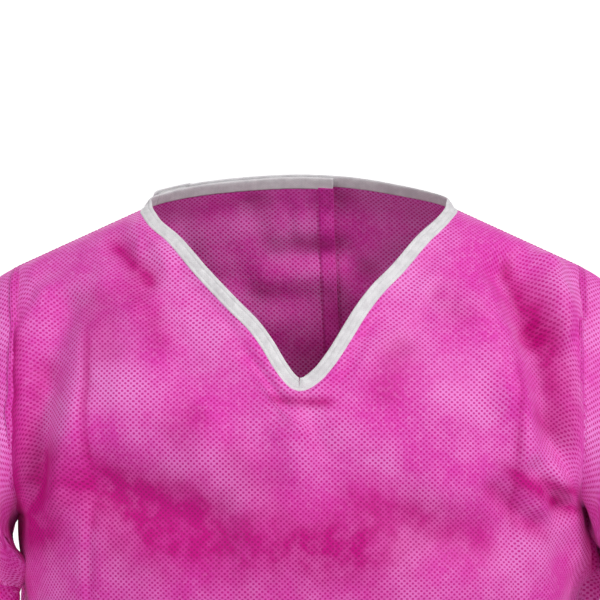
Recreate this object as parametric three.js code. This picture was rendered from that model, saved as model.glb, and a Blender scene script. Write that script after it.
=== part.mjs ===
// Patient gown of bonded cloth, open at the back, with short sleeves and a bound V neck.
// Millimetres. +Z is up, the wearer faces -Y, and the wearer's left is +X.
// The origin is the middle of the neck opening, level with its two side corners.
// Every piece is a thin sheet on one garment surface, so neighbours follow the same shape.
import * as THREE from "three";

// Overall sizes
const LENGTH = 1050; // side of the neck down to the hem
const CHEST_HALF = 217; // half the width at the underarm, also where the sleeves are set in
const HEM_HALF = 268; // half the width at the hem
const CHEST_DEPTH = 118; // half the depth at the shoulder blades
const HEM_DEPTH = 165; // half the depth at the hem
const ROUNDNESS = 2.3; // exponent of the body's rounded outline seen from above

// Shoulders and armholes
const CORNER_Z = -2; // height of the neck opening's side corners
const SHOULDER_SLOPE = THREE.MathUtils.degToRad(24);
const SHOULDER_ROUNDNESS = 1.8; // exponent of the curve over the shoulder
const SHOULDER_BASE_Z = -260; // where the shoulder curve starts
const SHOULDER_FULLNESS = 45; // what the half-width gains above the underarm
const UNDERARM_Z = -235;
const ARMHOLE_ROUNDING = 85; // height of the rounding at the foot of the armhole

// Neck opening
const NECK_HALF = 122; // centre to side corner
const NECK_V_DEPTH = 136; // below the side corners
const NECK_BACK_RISE = 21; // above the side corners
const NECK_BACK_ROUNDNESS = 1.7;
const NECK_BACK_SET = 0.148; // how far the back of the neck stands in from the ridge
const BINDING_WIDTH = 9;

// Sleeves
const SLEEVE_DROP = 266; // shoulder point down to the middle of the sleeve hem
const SLEEVE_CLEARANCE = 7; // between the body's side and the sleeve hem
const SLEEVE_TILT = THREE.MathUtils.degToRad(20);
const SLEEVE_HEM_HALF_WIDTH = 50;
const SLEEVE_HEM_HALF_DEPTH = 76;
const SLEEVE_HEM_SHARE = 0.07; // share of the sleeve's length that its hem takes

// Back opening: two flaps that overlap, each folding back beside the shoulder blade
const FLAP_FOLD_X = 128; // fold line of each flap, from the centre
const FLAP_FOLD_NECK_X = 60; // where the fold line meets the neck opening
const FOLD_LEAN_SHARE = 0.65; // share of the way down to the underarm where the fold turns upright
const OUTER_FLAP_EDGE = 74; // past the centre, before its hem
const INNER_FLAP_EDGE = 15; // past the centre, before its hem
const FLAP_LIFT = 4.5; // how far the outer flap lies above the inner one
const LIFT_FROM = 90; // the lift starts this far from the centre
const LIFT_TO = 32; // and is complete this far from it

// Cloth, hems and seams
const CLOTH = 1.6; // thickness of a single layer with its fullness
const DOUBLE_CLOTH = 2.6; // thickness of a hem, seam or binding
const HEM = 20; // depth of the bottom hem
const EDGE_HEM = 11.7; // width of the hem on a flap's free edge
const SEAM_HALF = 4; // half the width of a side or armhole seam
const SHOULDER_SEAM_HALF = 3;
const UNDERARM_DROP = 3; // room under the armhole seam
const GAP = 0.3; // between neighbouring pieces
const NECK_GAP = GAP + 0.33 * DOUBLE_CLOTH; // between the cloth's edge and the binding

// Neck closure
const TAB_CORNER_INSET = 5; // from the neck's side corner to the tab's end
const TAB_THICKNESS = 2.2;
const TAB_LIFT = 4.2;
const TAB_OVERHANG = 5; // how far the tab reaches below the binding
const PATCH_INSET = 4; // from the tab's two ends
const PATCH_MARGIN = 0.8; // from the binding's long edges
const PATCH_THICKNESS = 1;

const FABRIC = { color: 0xdb4ab0, roughness: 0.75, metalness: 0 };
const STITCHED = { color: 0xc8309a, roughness: 0.8, metalness: 0 };
const BINDING = { color: 0xdfdee0, roughness: 0.85, metalness: 0 };
const HOOK_LOOP = { color: 0xf2f1f0, roughness: 0.95, metalness: 0 };

const gown = new THREE.Group();
const { lerp, clamp, smoothstep } = THREE.MathUtils;

// ---- the garment surface ----

// Height, from 0 to 1, of a rounded arch at a share q of its half-span.
function arch(q, exponent) {
  const left = 1 - Math.pow(clamp(Math.abs(q), 0, 1), exponent);
  return Math.pow(left, 1 / exponent);
}

function halfWidth(z) {
  if (z > UNDERARM_Z) {
    const rise = clamp((z - UNDERARM_Z) / ARMHOLE_ROUNDING, 0, 1);
    return CHEST_HALF + SHOULDER_FULLNESS * Math.sin((rise * Math.PI) / 2);
  }
  const fall = (UNDERARM_Z - z) / (UNDERARM_Z + LENGTH);
  return lerp(CHEST_HALF, HEM_HALF, Math.pow(fall, 1.3));
}

function halfDepth(z) {
  const top = -150;
  const fall = clamp((top - z) / (top + LENGTH), 0, 1);
  return lerp(CHEST_DEPTH, HEM_DEPTH, Math.pow(fall, 1.2));
}

// Height of the ridge that the shoulders make, before the neck is cut out.
function ridgeZ(x) {
  return CORNER_Z - Math.max(0, Math.abs(x) - NECK_HALF) * Math.tan(SHOULDER_SLOPE);
}

const V_OUTLINE = new THREE.CatmullRomCurve3([
  new THREE.Vector3(-12, 0, CORNER_Z - NECK_V_DEPTH * 0.955),
  new THREE.Vector3(0, 0, CORNER_Z - NECK_V_DEPTH),
  new THREE.Vector3(12, 0, CORNER_Z - NECK_V_DEPTH * 0.955),
  new THREE.Vector3(NECK_HALF * 0.28, 0, CORNER_Z - NECK_V_DEPTH * 0.71),
  new THREE.Vector3(NECK_HALF * 0.63, 0, CORNER_Z - NECK_V_DEPTH * 0.37),
  new THREE.Vector3(NECK_HALF * 0.9, 0, CORNER_Z - NECK_V_DEPTH * 0.11),
  new THREE.Vector3(NECK_HALF, 0, CORNER_Z),
]);

// Height of the V outline at a distance from the centre, found by halving.
function vNeckZ(x) {
  let low = 0;
  let high = 1;
  for (let step = 0; step < 40; step += 1) {
    const middle = (low + high) / 2;
    if (V_OUTLINE.getPoint(middle).x < Math.abs(x)) {
      low = middle;
    } else {
      high = middle;
    }
  }
  return V_OUTLINE.getPoint(low).z;
}

function backNeckZ(x) {
  return CORNER_Z + NECK_BACK_RISE * arch(x / NECK_HALF, NECK_BACK_ROUNDNESS);
}

// side is -1 for the front and +1 for the back
function surfaceY(side, x, z) {
  const inNeck = Math.abs(x) < NECK_HALF;
  const top = side > 0 && inNeck ? backNeckZ(x) : ridgeZ(x);
  const up = clamp((z - SHOULDER_BASE_Z) / (top - SHOULDER_BASE_Z), 0, 1);
  const across = x / NECK_HALF;
  const set = side > 0 && inNeck ? 1 - NECK_BACK_SET * Math.pow(1 - across * across, 0.6) : 1;
  const shoulder = arch(up * set, SHOULDER_ROUNDNESS);
  return side * halfDepth(z) * arch(x / halfWidth(z), ROUNDNESS) * shoulder;
}

// Height at which the surface is a distance y from the shoulder ridge.
function heightBesideRidge(x, y) {
  const depth = halfDepth(ridgeZ(x)) * arch(x / halfWidth(ridgeZ(x)), ROUNDNESS);
  return lerp(SHOULDER_BASE_Z, ridgeZ(x), arch(y / depth, SHOULDER_ROUNDNESS));
}

function onSurface(side, x, z) {
  return new THREE.Vector3(x, surfaceY(side, x, z), z);
}

// ---- sheets ----

function normalAt(place, u, v) {
  const step = 1e-3;
  const alongU = place(u + step, v).sub(place(u - step, v));
  const alongV = place(u, v + step).sub(place(u, v - step));
  return alongU.cross(alongV).normalize();
}

// A closed sheet of even thickness through the points place(u, v).
function sheet(name, look, us, vs, place, thickness, loop = false) {
  const rows = vs.length;
  const columns = us.length;
  const positions = [];
  for (const side of [1, -1]) {
    for (const v of vs) {
      for (const u of us) {
        const point = place(u, v);
        point.addScaledVector(normalAt(place, u, v), (side * thickness) / 2);
        positions.push(point.x, point.y, point.z);
      }
    }
  }
  const at = (side, row, column) => (side * rows + row) * columns + (column % columns);
  const faces = [];
  const quad = (a, b, c, d) => faces.push(a, b, c, a, c, d);
  const lastColumn = loop ? columns : columns - 1;
  for (let row = 0; row < rows - 1; row += 1) {
    for (let column = 0; column < lastColumn; column += 1) {
      quad(at(0, row, column), at(0, row, column + 1), at(0, row + 1, column + 1), at(0, row + 1, column));
      quad(at(1, row, column), at(1, row + 1, column), at(1, row + 1, column + 1), at(1, row, column + 1));
    }
  }
  for (let column = 0; column < lastColumn; column += 1) {
    quad(at(0, 0, column), at(1, 0, column), at(1, 0, column + 1), at(0, 0, column + 1));
    const end = rows - 1;
    quad(at(0, end, column), at(0, end, column + 1), at(1, end, column + 1), at(1, end, column));
  }
  if (!loop) {
    for (let row = 0; row < rows - 1; row += 1) {
      quad(at(0, row, 0), at(0, row + 1, 0), at(1, row + 1, 0), at(1, row, 0));
      const end = columns - 1;
      quad(at(0, row, end), at(1, row, end), at(1, row + 1, end), at(0, row + 1, end));
    }
  }
  addMesh(name, look, positions, faces);
}

function addMesh(name, look, positions, faces) {
  const geometry = new THREE.BufferGeometry();
  geometry.setAttribute("position", new THREE.Float32BufferAttribute(positions, 3));
  geometry.setIndex(signedVolume(positions, faces) > 0 ? faces : faces.toReversed());
  geometry.computeVertexNormals();
  const mesh = new THREE.Mesh(geometry, new THREE.MeshStandardMaterial(look));
  mesh.name = name;
  gown.add(mesh);
}

function signedVolume(positions, faces) {
  const corner = (index) => new THREE.Vector3().fromArray(positions, index * 3);
  let volume = 0;
  for (let face = 0; face < faces.length; face += 3) {
    const [a, b, c] = [faces[face], faces[face + 1], faces[face + 2]].map(corner);
    volume += a.dot(b.cross(c)) / 6;
  }
  return volume;
}

// count + 1 numbers from first to last; power above 1 crowds them towards the first
function spread(first, last, count, power = 1) {
  return Array.from({ length: count + 1 }, (_, i) => lerp(first, last, Math.pow(i / count, power)));
}

// count + 1 shares from 0 to 1, crowded towards 1
function crowdedShares(count) {
  return Array.from({ length: count + 1 }, (_, i) => Math.sin((i / count) * (Math.PI / 2)));
}

// ---- rows: v from 0 to 1 runs from the top edge to the underarm, and on to 2 at the bottom hem ----

const ARMHOLE_EDGE = CHEST_HALF - SEAM_HALF - GAP;
const UPPER_END_Z = UNDERARM_Z - UNDERARM_DROP;
const PANEL_END_Z = HEM - LENGTH;
const UPPER_ROWS = [0, 0.035, 0.09, 0.17, 0.27, 0.39, 0.52, FOLD_LEAN_SHARE, 0.78, 0.9, 0.97, 1];
const LOWER_ROWS = spread(1, 2, 10, 1.6).slice(1);
const UNDERARM_TURN = 1.012;
const MOST_SLOPE = 3;
const ROWS = [...UPPER_ROWS, UNDERARM_TURN, ...LOWER_ROWS];

function neckZ(side, x) {
  return side < 0 ? vNeckZ(x) : backNeckZ(x);
}

// The gap under the neck edge, measured straight down where that edge slopes.
function neckDrop(side, x) {
  const step = 0.5;
  const slope = (neckZ(side, Math.abs(x) + step) - neckZ(side, Math.abs(x) - step)) / (2 * step);
  return NECK_GAP * Math.hypot(1, clamp(slope, -MOST_SLOPE, MOST_SLOPE));
}

function topEdgeZ(side, x) {
  if (Math.abs(x) >= NECK_HALF) {
    return heightBesideRidge(x, SHOULDER_SEAM_HALF + GAP);
  }
  const neck = neckZ(side, x) - neckDrop(side, x);
  return side > 0 ? neck : Math.min(neck, heightBesideRidge(NECK_HALF, SHOULDER_SEAM_HALF + GAP) - NECK_GAP);
}

function rowZ(side, x, v) {
  if (v <= 1) {
    return lerp(topEdgeZ(side, x), UPPER_END_Z, Math.max(0, v));
  }
  return lerp(UPPER_END_Z, PANEL_END_Z, v - 1);
}

// Half-width of the cloth at a row: the armhole above the underarm, the side seam below it.
function edgeX(v) {
  if (v <= 1) {
    return ARMHOLE_EDGE;
  }
  const z = rowZ(1, CHEST_HALF, v);
  const seam = arch((SEAM_HALF + GAP) / halfDepth(z), ROUNDNESS) * halfWidth(z);
  return lerp(ARMHOLE_EDGE, seam, clamp((v - 1) / (UNDERARM_TURN - 1), 0, 1));
}

function foldX(v) {
  return lerp(FLAP_FOLD_NECK_X, FLAP_FOLD_X, clamp(v / FOLD_LEAN_SHARE, 0, 1));
}

// ---- front ----

const NECK_SHARES = spread(0, 1, 10, 1.3);
const SIDE_SHARES = crowdedShares(8);
const FRONT_HALF_COLUMNS = [...NECK_SHARES, ...SIDE_SHARES.slice(1).map((share) => 1 + share)];
const FRONT_COLUMNS = [...FRONT_HALF_COLUMNS.slice(1).map((u) => -u).reverse(), ...FRONT_HALF_COLUMNS];

const CORNER_X = NECK_HALF + NECK_GAP;

// u from 0 to 1 spans the neck opening and from 1 to 2 the rest, to the left and right alike
function frontX(u, v) {
  const size = Math.abs(u);
  const flare = v > 1 ? halfWidth(rowZ(-1, 0, v)) / CHEST_HALF : 1;
  const corner = CORNER_X * flare;
  return Math.sign(u) * (size <= 1 ? size * corner : lerp(corner, edgeX(v), size - 1));
}

function frontPoint(u, v) {
  const x = frontX(u, v);
  return onSurface(-1, x, rowZ(-1, x, v));
}

// Carries a point of the lower edge down into the bottom hem, with the body's flare.
function hemPoint(side, x, drop) {
  const z = PANEL_END_Z - drop;
  return onSurface(side, (x * halfWidth(z)) / halfWidth(PANEL_END_Z), z);
}

function frontHemPoint(u, drop) {
  return hemPoint(-1, frontX(u, 2), drop);
}

sheet("front_panel", FABRIC, FRONT_COLUMNS, ROWS, frontPoint, CLOTH);
sheet("front_hem", STITCHED, FRONT_COLUMNS, [GAP, HEM], frontHemPoint, DOUBLE_CLOTH);

// ---- back sides ----

const BACK_COLUMNS = [...spread(0, 1, 4), ...SIDE_SHARES.slice(1).map((share) => 1 + share)];

function backSideX(u, v) {
  const fold = foldX(v) + GAP / 2;
  const middle = lerp(NECK_HALF, (FLAP_FOLD_X + ARMHOLE_EDGE) / 2, clamp(v / FOLD_LEAN_SHARE, 0, 1));
  return u <= 1 ? lerp(fold, middle, u) : lerp(middle, edgeX(v), u - 1);
}

function backSides(name, hand) {
  const point = (u, v) => {
    const x = hand * backSideX(u, v);
    return onSurface(1, x, rowZ(1, x, v));
  };
  const lowerPoint = (u, drop) => hemPoint(1, hand * backSideX(u, 2), drop);
  sheet(`back_side_${name}`, FABRIC, BACK_COLUMNS, ROWS, point, CLOTH);
  sheet(`back_side_hem_${name}`, STITCHED, BACK_COLUMNS, [GAP, HEM], lowerPoint, DOUBLE_CLOTH);
}

// ---- back flaps: the left one lies outside and passes over the centre ----

function outerLift(x) {
  return FLAP_LIFT * (1 - smoothstep(x, LIFT_TO, LIFT_FROM));
}

function noLift() {
  return 0;
}

// Moves the points of a back surface outwards by lift(x).
function raised(place, lift) {
  return (u, v) => {
    const point = place(u, v);
    const normal = normalAt(place, u, v);
    return point.addScaledVector(normal, Math.sign(normal.y) * lift(point.x));
  };
}

function backFlap(name, hand, freeEdge, lift) {
  const foldSide = (v) => foldX(v) - GAP / 2;
  const point = raised((u, v) => {
    const x = hand * lerp(-freeEdge, foldSide(v), u);
    return onSurface(1, x, rowZ(1, x, v));
  }, lift);
  const lowerPoint = raised((u, drop) => {
    const x = hand * lerp(-freeEdge, foldSide(2), u);
    return hemPoint(1, x, drop);
  }, lift);
  const edgePoint = raised((out, v) => {
    const x = -hand * (freeEdge + out);
    return v <= 2 ? onSurface(1, x, rowZ(1, x, v)) : hemPoint(1, x, (v - 2) * HEM);
  }, lift);
  const columns = spread(0, 1, Math.round((freeEdge + FLAP_FOLD_X) / 20));
  sheet(`back_flap_${name}`, FABRIC, columns, ROWS, point, CLOTH);
  sheet(`flap_hem_${name}`, STITCHED, columns, [GAP, HEM], lowerPoint, DOUBLE_CLOTH);
  sheet(`flap_edge_hem_${name}`, STITCHED, [GAP, EDGE_HEM], [...ROWS, 3], edgePoint, DOUBLE_CLOTH);
}

// ---- neck binding ----

// Stations along the neck edge: a point, the way across towards the neck, and the way out.
function neckStation(side, x) {
  if (side === 0) {
    const corner = new THREE.Vector3(Math.sign(x) * NECK_HALF, 0, CORNER_Z);
    const out = new THREE.Vector3(Math.sign(x) * Math.sin(SHOULDER_SLOPE), 0, Math.cos(SHOULDER_SLOPE));
    return { point: corner, out };
  }
  const z = neckZ(side, x);
  const near = (u, v) => onSurface(side, x + u, z - 2 + v);
  const out = normalAt(near, 0, 0);
  out.multiplyScalar(Math.sign(out.y) * side);
  return { point: onSurface(side, x, z), out };
}

function withAcross(stations) {
  return stations.map((station, i) => {
    const before = stations[Math.max(0, i - 1)].point;
    const after = stations[Math.min(stations.length - 1, i + 1)].point;
    const along = after.clone().sub(before).normalize();
    const across = along.cross(station.out).normalize();
    across.multiplyScalar(Math.sign(across.z));
    return { ...station, across };
  });
}

// A band laid along the stations, from one distance across to another.
function band(name, look, stations, from, to, lift, thickness) {
  const line = withAcross(stations);
  const place = (u, v) => {
    const i = clamp(Math.floor(u), 0, line.length - 2);
    const share = u - i;
    const at = (station) => {
      const rise = lift(station.point.x);
      return station.point.clone().addScaledVector(station.across, v).addScaledVector(station.out, rise);
    };
    return at(line[i]).lerp(at(line[i + 1]), share);
  };
  const us = line.map((_, i) => i);
  sheet(name, look, us, [from, to], place, thickness);
}

const TAB_START = OUTER_FLAP_EDGE + EDGE_HEM + GAP;
const TAB_END = NECK_HALF - TAB_CORNER_INSET;

function frontBinding() {
  const vShares = NECK_SHARES.slice(0, -1).map((share) => share * CORNER_X);
  const backXs = spread(FLAP_FOLD_NECK_X + GAP / 2, NECK_HALF, 4).slice(0, -1);
  const half = (hand) => [
    ...backXs.map((x) => neckStation(1, hand * x)),
    neckStation(0, hand),
    ...vShares.slice(1).reverse().map((x) => neckStation(-1, hand * x)),
  ];
  const stations = [...half(-1), neckStation(-1, 0), ...half(1).reverse()];
  band("neck_binding_front", BINDING, stations, 0, BINDING_WIDTH, noLift, DOUBLE_CLOTH);
}

function backBinding(name, hand, freeEdge, lift) {
  const count = Math.round((freeEdge + FLAP_FOLD_X) / 20);
  const xs = spread(FLAP_FOLD_NECK_X - GAP / 2, -(freeEdge + EDGE_HEM), count);
  const stations = xs.map((x) => neckStation(1, hand * x));
  band(`neck_binding_back_${name}`, BINDING, stations, 0, BINDING_WIDTH, lift, DOUBLE_CLOTH);
}

function neckClosure() {
  const tabXs = spread(-TAB_START, -TAB_END, 6);
  const tab = tabXs.map((x) => neckStation(1, x));
  band("neck_hook_tab", HOOK_LOOP, tab, -TAB_OVERHANG, BINDING_WIDTH, () => TAB_LIFT, TAB_THICKNESS);
  const patchXs = spread(-TAB_START - PATCH_INSET, PATCH_INSET - TAB_END, 4);
  const patch = patchXs.map((x) => neckStation(1, x));
  const patchLift = DOUBLE_CLOTH / 2 + GAP + PATCH_THICKNESS / 2;
  const patchTop = BINDING_WIDTH - PATCH_MARGIN;
  band("neck_loop_patch", HOOK_LOOP, patch, PATCH_MARGIN, patchTop, () => patchLift, PATCH_THICKNESS);
}

// ---- shoulder, side and armhole seams ----

function shoulderSeam(name, hand) {
  const point = (x, y) => {
    const depth = Math.abs(y);
    return new THREE.Vector3(hand * x, y, heightBesideRidge(x, depth));
  };
  const xs = spread(NECK_HALF + GAP, ARMHOLE_EDGE, 5);
  const ys = [-SHOULDER_SEAM_HALF, 0, SHOULDER_SEAM_HALF];
  sheet(`shoulder_seam_${name}`, STITCHED, xs, ys, point, DOUBLE_CLOTH);
}

function sideSeam(name, hand) {
  const point = (y, z) => {
    const x = halfWidth(z) * arch(y / halfDepth(z), ROUNDNESS);
    return new THREE.Vector3(hand * x, y, z);
  };
  const top = lerp(UPPER_END_Z, PANEL_END_Z, UNDERARM_TURN - 1);
  const zs = [top, ...LOWER_ROWS.slice(0, -1).map((v) => rowZ(1, CHEST_HALF, v)), -LENGTH];
  sheet(`side_seam_${name}`, STITCHED, [-SEAM_HALF, SEAM_HALF], zs, point, DOUBLE_CLOTH);
}

const SHOULDER_POINT_Z = ridgeZ(CHEST_HALF);
const ARMHOLE_SIDES = 20;

// Point of the armhole's outline, by its angle from the front (0) up over the shoulder.
function armholeRing(angle) {
  const z = lerp(UNDERARM_Z, SHOULDER_POINT_Z, (Math.sin(angle) + 1) / 2);
  const side = Math.cos(angle) > 0 ? -1 : 1;
  const shoulder = arch((z - SHOULDER_BASE_Z) / (SHOULDER_POINT_Z - SHOULDER_BASE_Z), SHOULDER_ROUNDNESS);
  const y = side * halfDepth(z) * arch(CHEST_HALF / halfWidth(z), ROUNDNESS) * shoulder;
  return { y, z };
}

const HALF_SIDE = Math.PI / ARMHOLE_SIDES;
const RING_ANGLES = Array.from({ length: ARMHOLE_SIDES }, (_, i) => (2 * i + 1) * HALF_SIDE);

function armholeSeam(name, hand) {
  const point = (angle, out) => {
    const { y, z } = armholeRing(angle);
    return new THREE.Vector3(hand * (CHEST_HALF + out), y, z);
  };
  sheet(`armhole_seam_${name}`, STITCHED, RING_ANGLES, [-SEAM_HALF, SEAM_HALF], point, DOUBLE_CLOTH, true);
}

// ---- sleeves ----

const SLEEVE_LOWEST_Z = SHOULDER_POINT_Z - SLEEVE_DROP - SLEEVE_HEM_HALF_WIDTH * Math.sin(SLEEVE_TILT);
const SLEEVE_HEM_REACH = SLEEVE_CLEARANCE + SLEEVE_HEM_HALF_WIDTH * Math.cos(SLEEVE_TILT);
const SLEEVE_HEM_X = halfWidth(SLEEVE_LOWEST_Z) + SLEEVE_HEM_REACH;

// share runs from 0 at the armhole seam to 1 at the sleeve's lower edge
function sleevePoint(hand, angle, share) {
  const ring = armholeRing(angle);
  const start = new THREE.Vector3(CHEST_HALF + SEAM_HALF + GAP + CLOTH / 2, ring.y, ring.z);
  const along = new THREE.Vector3(Math.sin(SLEEVE_TILT), 0, -Math.cos(SLEEVE_TILT));
  const outward = new THREE.Vector3(Math.cos(SLEEVE_TILT), 0, Math.sin(SLEEVE_TILT));
  const end = new THREE.Vector3(SLEEVE_HEM_X, 0, SHOULDER_POINT_Z - SLEEVE_DROP);
  end.addScaledVector(outward, SLEEVE_HEM_HALF_WIDTH * Math.sin(angle));
  end.y -= SLEEVE_HEM_HALF_DEPTH * Math.cos(angle);
  const reach = start.distanceTo(end);
  const dip = lerp(SHOULDER_SLOPE, Math.PI / 3, (1 - Math.sin(angle)) / 2);
  const leave = new THREE.Vector3(Math.cos(dip), 0, -Math.sin(dip)).multiplyScalar(reach);
  const arrive = along.multiplyScalar(reach);
  const s = share;
  const point = start.multiplyScalar((1 + 2 * s) * (1 - s) * (1 - s));
  point.addScaledVector(leave, s * (1 - s) * (1 - s));
  point.addScaledVector(end, s * s * (3 - 2 * s));
  point.addScaledVector(arrive, s * s * (s - 1));
  point.x *= hand;
  return point;
}

function sleeve(name, hand) {
  const point = (angle, share) => sleevePoint(hand, angle, share);
  const seam = 1 - SLEEVE_HEM_SHARE;
  const gapShare = (2 * GAP) / SLEEVE_DROP;
  sheet(`sleeve_panel_${name}`, FABRIC, RING_ANGLES, spread(0, seam, 9), point, CLOTH, true);
  sheet(`sleeve_hem_${name}`, STITCHED, RING_ANGLES, [seam + gapShare * 3, 1], point, DOUBLE_CLOTH, true);
}

// ---- assembly ----

for (const [name, hand] of [["left", 1], ["right", -1]]) {
  backSides(name, hand);
  shoulderSeam(name, hand);
  sideSeam(name, hand);
  armholeSeam(name, hand);
  sleeve(name, hand);
}
backFlap("left", 1, OUTER_FLAP_EDGE, outerLift);
backFlap("right", -1, INNER_FLAP_EDGE, noLift);
frontBinding();
backBinding("left", 1, OUTER_FLAP_EDGE, outerLift);
backBinding("right", -1, INNER_FLAP_EDGE, noLift);
neckClosure();

export default gown;
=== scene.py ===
"""Patient gown: magenta bonded cloth with a white bound V neck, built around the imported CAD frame."""

import copy
import math

import bpy
import numpy as np
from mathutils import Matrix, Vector


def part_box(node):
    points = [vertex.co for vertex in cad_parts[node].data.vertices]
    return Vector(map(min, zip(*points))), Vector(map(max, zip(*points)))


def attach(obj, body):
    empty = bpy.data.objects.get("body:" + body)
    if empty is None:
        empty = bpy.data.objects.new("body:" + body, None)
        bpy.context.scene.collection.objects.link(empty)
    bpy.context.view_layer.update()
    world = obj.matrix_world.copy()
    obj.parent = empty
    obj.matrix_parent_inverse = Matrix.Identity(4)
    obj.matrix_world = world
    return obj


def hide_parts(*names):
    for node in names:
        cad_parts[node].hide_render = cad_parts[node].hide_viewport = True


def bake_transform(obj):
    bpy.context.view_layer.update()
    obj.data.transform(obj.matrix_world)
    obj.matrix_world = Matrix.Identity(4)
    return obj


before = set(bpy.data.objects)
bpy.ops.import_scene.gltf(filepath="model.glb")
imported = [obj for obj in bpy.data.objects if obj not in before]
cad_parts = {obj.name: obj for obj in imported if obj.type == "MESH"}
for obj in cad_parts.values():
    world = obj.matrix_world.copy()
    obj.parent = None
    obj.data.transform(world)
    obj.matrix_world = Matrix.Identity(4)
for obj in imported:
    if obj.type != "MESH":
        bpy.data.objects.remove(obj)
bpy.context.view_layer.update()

MM = 0.001

# ---- sizes read from the frame ----

SEAM_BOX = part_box("armhole_seam_left")
SIDE_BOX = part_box("side_seam_left")
HEM_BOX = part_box("front_hem")
SLEEVE_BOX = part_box("sleeve_hem_left")

DOUBLE = 2.6 * MM  # CAD thickness of seams and hems
CHEST_HALF = (SEAM_BOX[0][0] + SEAM_BOX[1][0]) / 2
UNDERARM_Z = SEAM_BOX[0][2] + DOUBLE / 2
SHOULDER_Z = SEAM_BOX[1][2] - DOUBLE / 2
LENGTH = -SIDE_BOX[0][2]
HEM_HALF = SIDE_BOX[1][0] - DOUBLE / 2
HEM_DEPTH = -HEM_BOX[0][1] - DOUBLE / 2
NECK_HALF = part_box("shoulder_seam_left")[0][0]

# ---- shape of the garment surface, as in the CAD ----

CHEST_DEPTH = 118 * MM
ROUNDNESS = 2.3
SHOULDER_ROUNDNESS = 1.8
SHOULDER_BASE_Z = -260 * MM
SHOULDER_FULLNESS = 45 * MM
ARMHOLE_ROUNDING = 85 * MM
DEPTH_TOP_Z = -150 * MM
CORNER_Z = -2 * MM
NECK_BACK_RISE = 21 * MM
NECK_BACK_ROUNDNESS = 1.7
NECK_BACK_SET = 0.148
OUTER_EDGE_X = -86 * MM
INNER_EDGE_X = 27 * MM
FLAP_LIFT = 4.5 * MM
LIFT_TO = 32 * MM
LIFT_FROM = 90 * MM

# V neck outline, as (distance from the centre, height), for the wearer's right and left
V_RIGHT = [(0, -137), (5.5, -135), (10, -131), (18, -120), (26, -106.5), (35, -94), (50, -79),
           (76, -52), (99, -26), (114, -13), (122, -2)]
V_LEFT = [(0, -137), (6, -136), (11, -133), (19, -126), (29, -113), (38, -99), (48, -83),
          (61, -66), (76, -51), (97, -27), (113, -12), (122, -2)]


def arch(q, exponent):
    """Height, from 0 to 1, of a rounded arch at a share q of its half-span."""
    left = 1 - np.clip(np.abs(q), 0, 1) ** exponent
    return left ** (1 / exponent)


def smooth(edge0, edge1, x):
    t = np.clip((np.asarray(x, float) - edge0) / (edge1 - edge0), 0, 1)
    return t * t * (3 - 2 * t)


def half_width(z):
    z = np.asarray(z, float)
    rise = np.clip((z - UNDERARM_Z) / ARMHOLE_ROUNDING, 0, 1)
    fall = np.clip((UNDERARM_Z - z) / (UNDERARM_Z + LENGTH), 0, 1)
    upper = CHEST_HALF + SHOULDER_FULLNESS * np.sin(rise * math.pi / 2)
    lower = CHEST_HALF + (HEM_HALF - CHEST_HALF) * fall ** 1.3
    return np.where(z > UNDERARM_Z, upper, lower)


def half_depth(z):
    fall = np.clip((DEPTH_TOP_Z - np.asarray(z, float)) / (DEPTH_TOP_Z + LENGTH), 0, 1)
    return CHEST_DEPTH + (HEM_DEPTH - CHEST_DEPTH) * fall ** 1.2


def ridge_z(x):
    slope = (CORNER_Z - SHOULDER_Z) / (CHEST_HALF - NECK_HALF)
    return CORNER_Z - np.maximum(0, np.abs(x) - NECK_HALF) * slope


def curve_through(points):
    """A smooth function through (x, y) points in millimetres, given in metres."""
    xs = np.array([p[0] for p in points], float) * MM
    ys = np.array([p[1] for p in points], float) * MM
    slopes = np.gradient(ys, xs)

    def value(x):
        x = np.clip(np.asarray(x, float), xs[0], xs[-1])
        i = np.clip(np.searchsorted(xs, x) - 1, 0, len(xs) - 2)
        h = xs[i + 1] - xs[i]
        t = (x - xs[i]) / h
        a = ys[i] * (1 + 2 * t) * (1 - t) ** 2 + slopes[i] * h * t * (1 - t) ** 2
        b = ys[i + 1] * t * t * (3 - 2 * t) + slopes[i + 1] * h * t * t * (t - 1)
        return a + b

    return value


v_right = curve_through(V_RIGHT)
v_left = curve_through(V_LEFT)


def front_neck_z(x):
    x = np.asarray(x, float)
    return np.where(x < 0, v_right(-x), v_left(x))


def back_neck_z(x):
    return CORNER_Z + NECK_BACK_RISE * arch(np.asarray(x, float) / NECK_HALF, NECK_BACK_ROUNDNESS)


def surface_y(side, x, z):
    """side is -1 for the front and +1 for the back."""
    x = np.asarray(x, float)
    z = np.asarray(z, float)
    top = ridge_z(x)
    set_in = np.ones_like(x + z)
    if side > 0:
        in_neck = np.abs(x) < NECK_HALF
        top = np.where(in_neck, back_neck_z(x), top)
        across = np.clip(np.abs(x) / NECK_HALF, 0, 1)
        set_in = np.where(in_neck, 1 - NECK_BACK_SET * (1 - across ** 2) ** 0.6, 1)
    up = np.clip((z - SHOULDER_BASE_Z) / (top - SHOULDER_BASE_Z), 0, 1)
    shoulder = arch(up * set_in, SHOULDER_ROUNDNESS)
    return side * half_depth(z) * arch(x / half_width(z), ROUNDNESS) * shoulder


# ---- cloth grids: u spans right to left, from -2 to 2, and v runs from the neck and shoulders (0)
#      to the underarm (1) and the bottom edge (2) ----


def row_z(side, x, v):
    neck = front_neck_z(x) if side < 0 else back_neck_z(x)
    top = np.where(np.abs(x) < NECK_HALF, neck, ridge_z(x))
    upper = top + (UNDERARM_Z - top) * np.clip(v, 0, 1)
    return np.where(v <= 1, upper, UNDERARM_Z - (LENGTH + UNDERARM_Z) * (v - 1))


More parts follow.
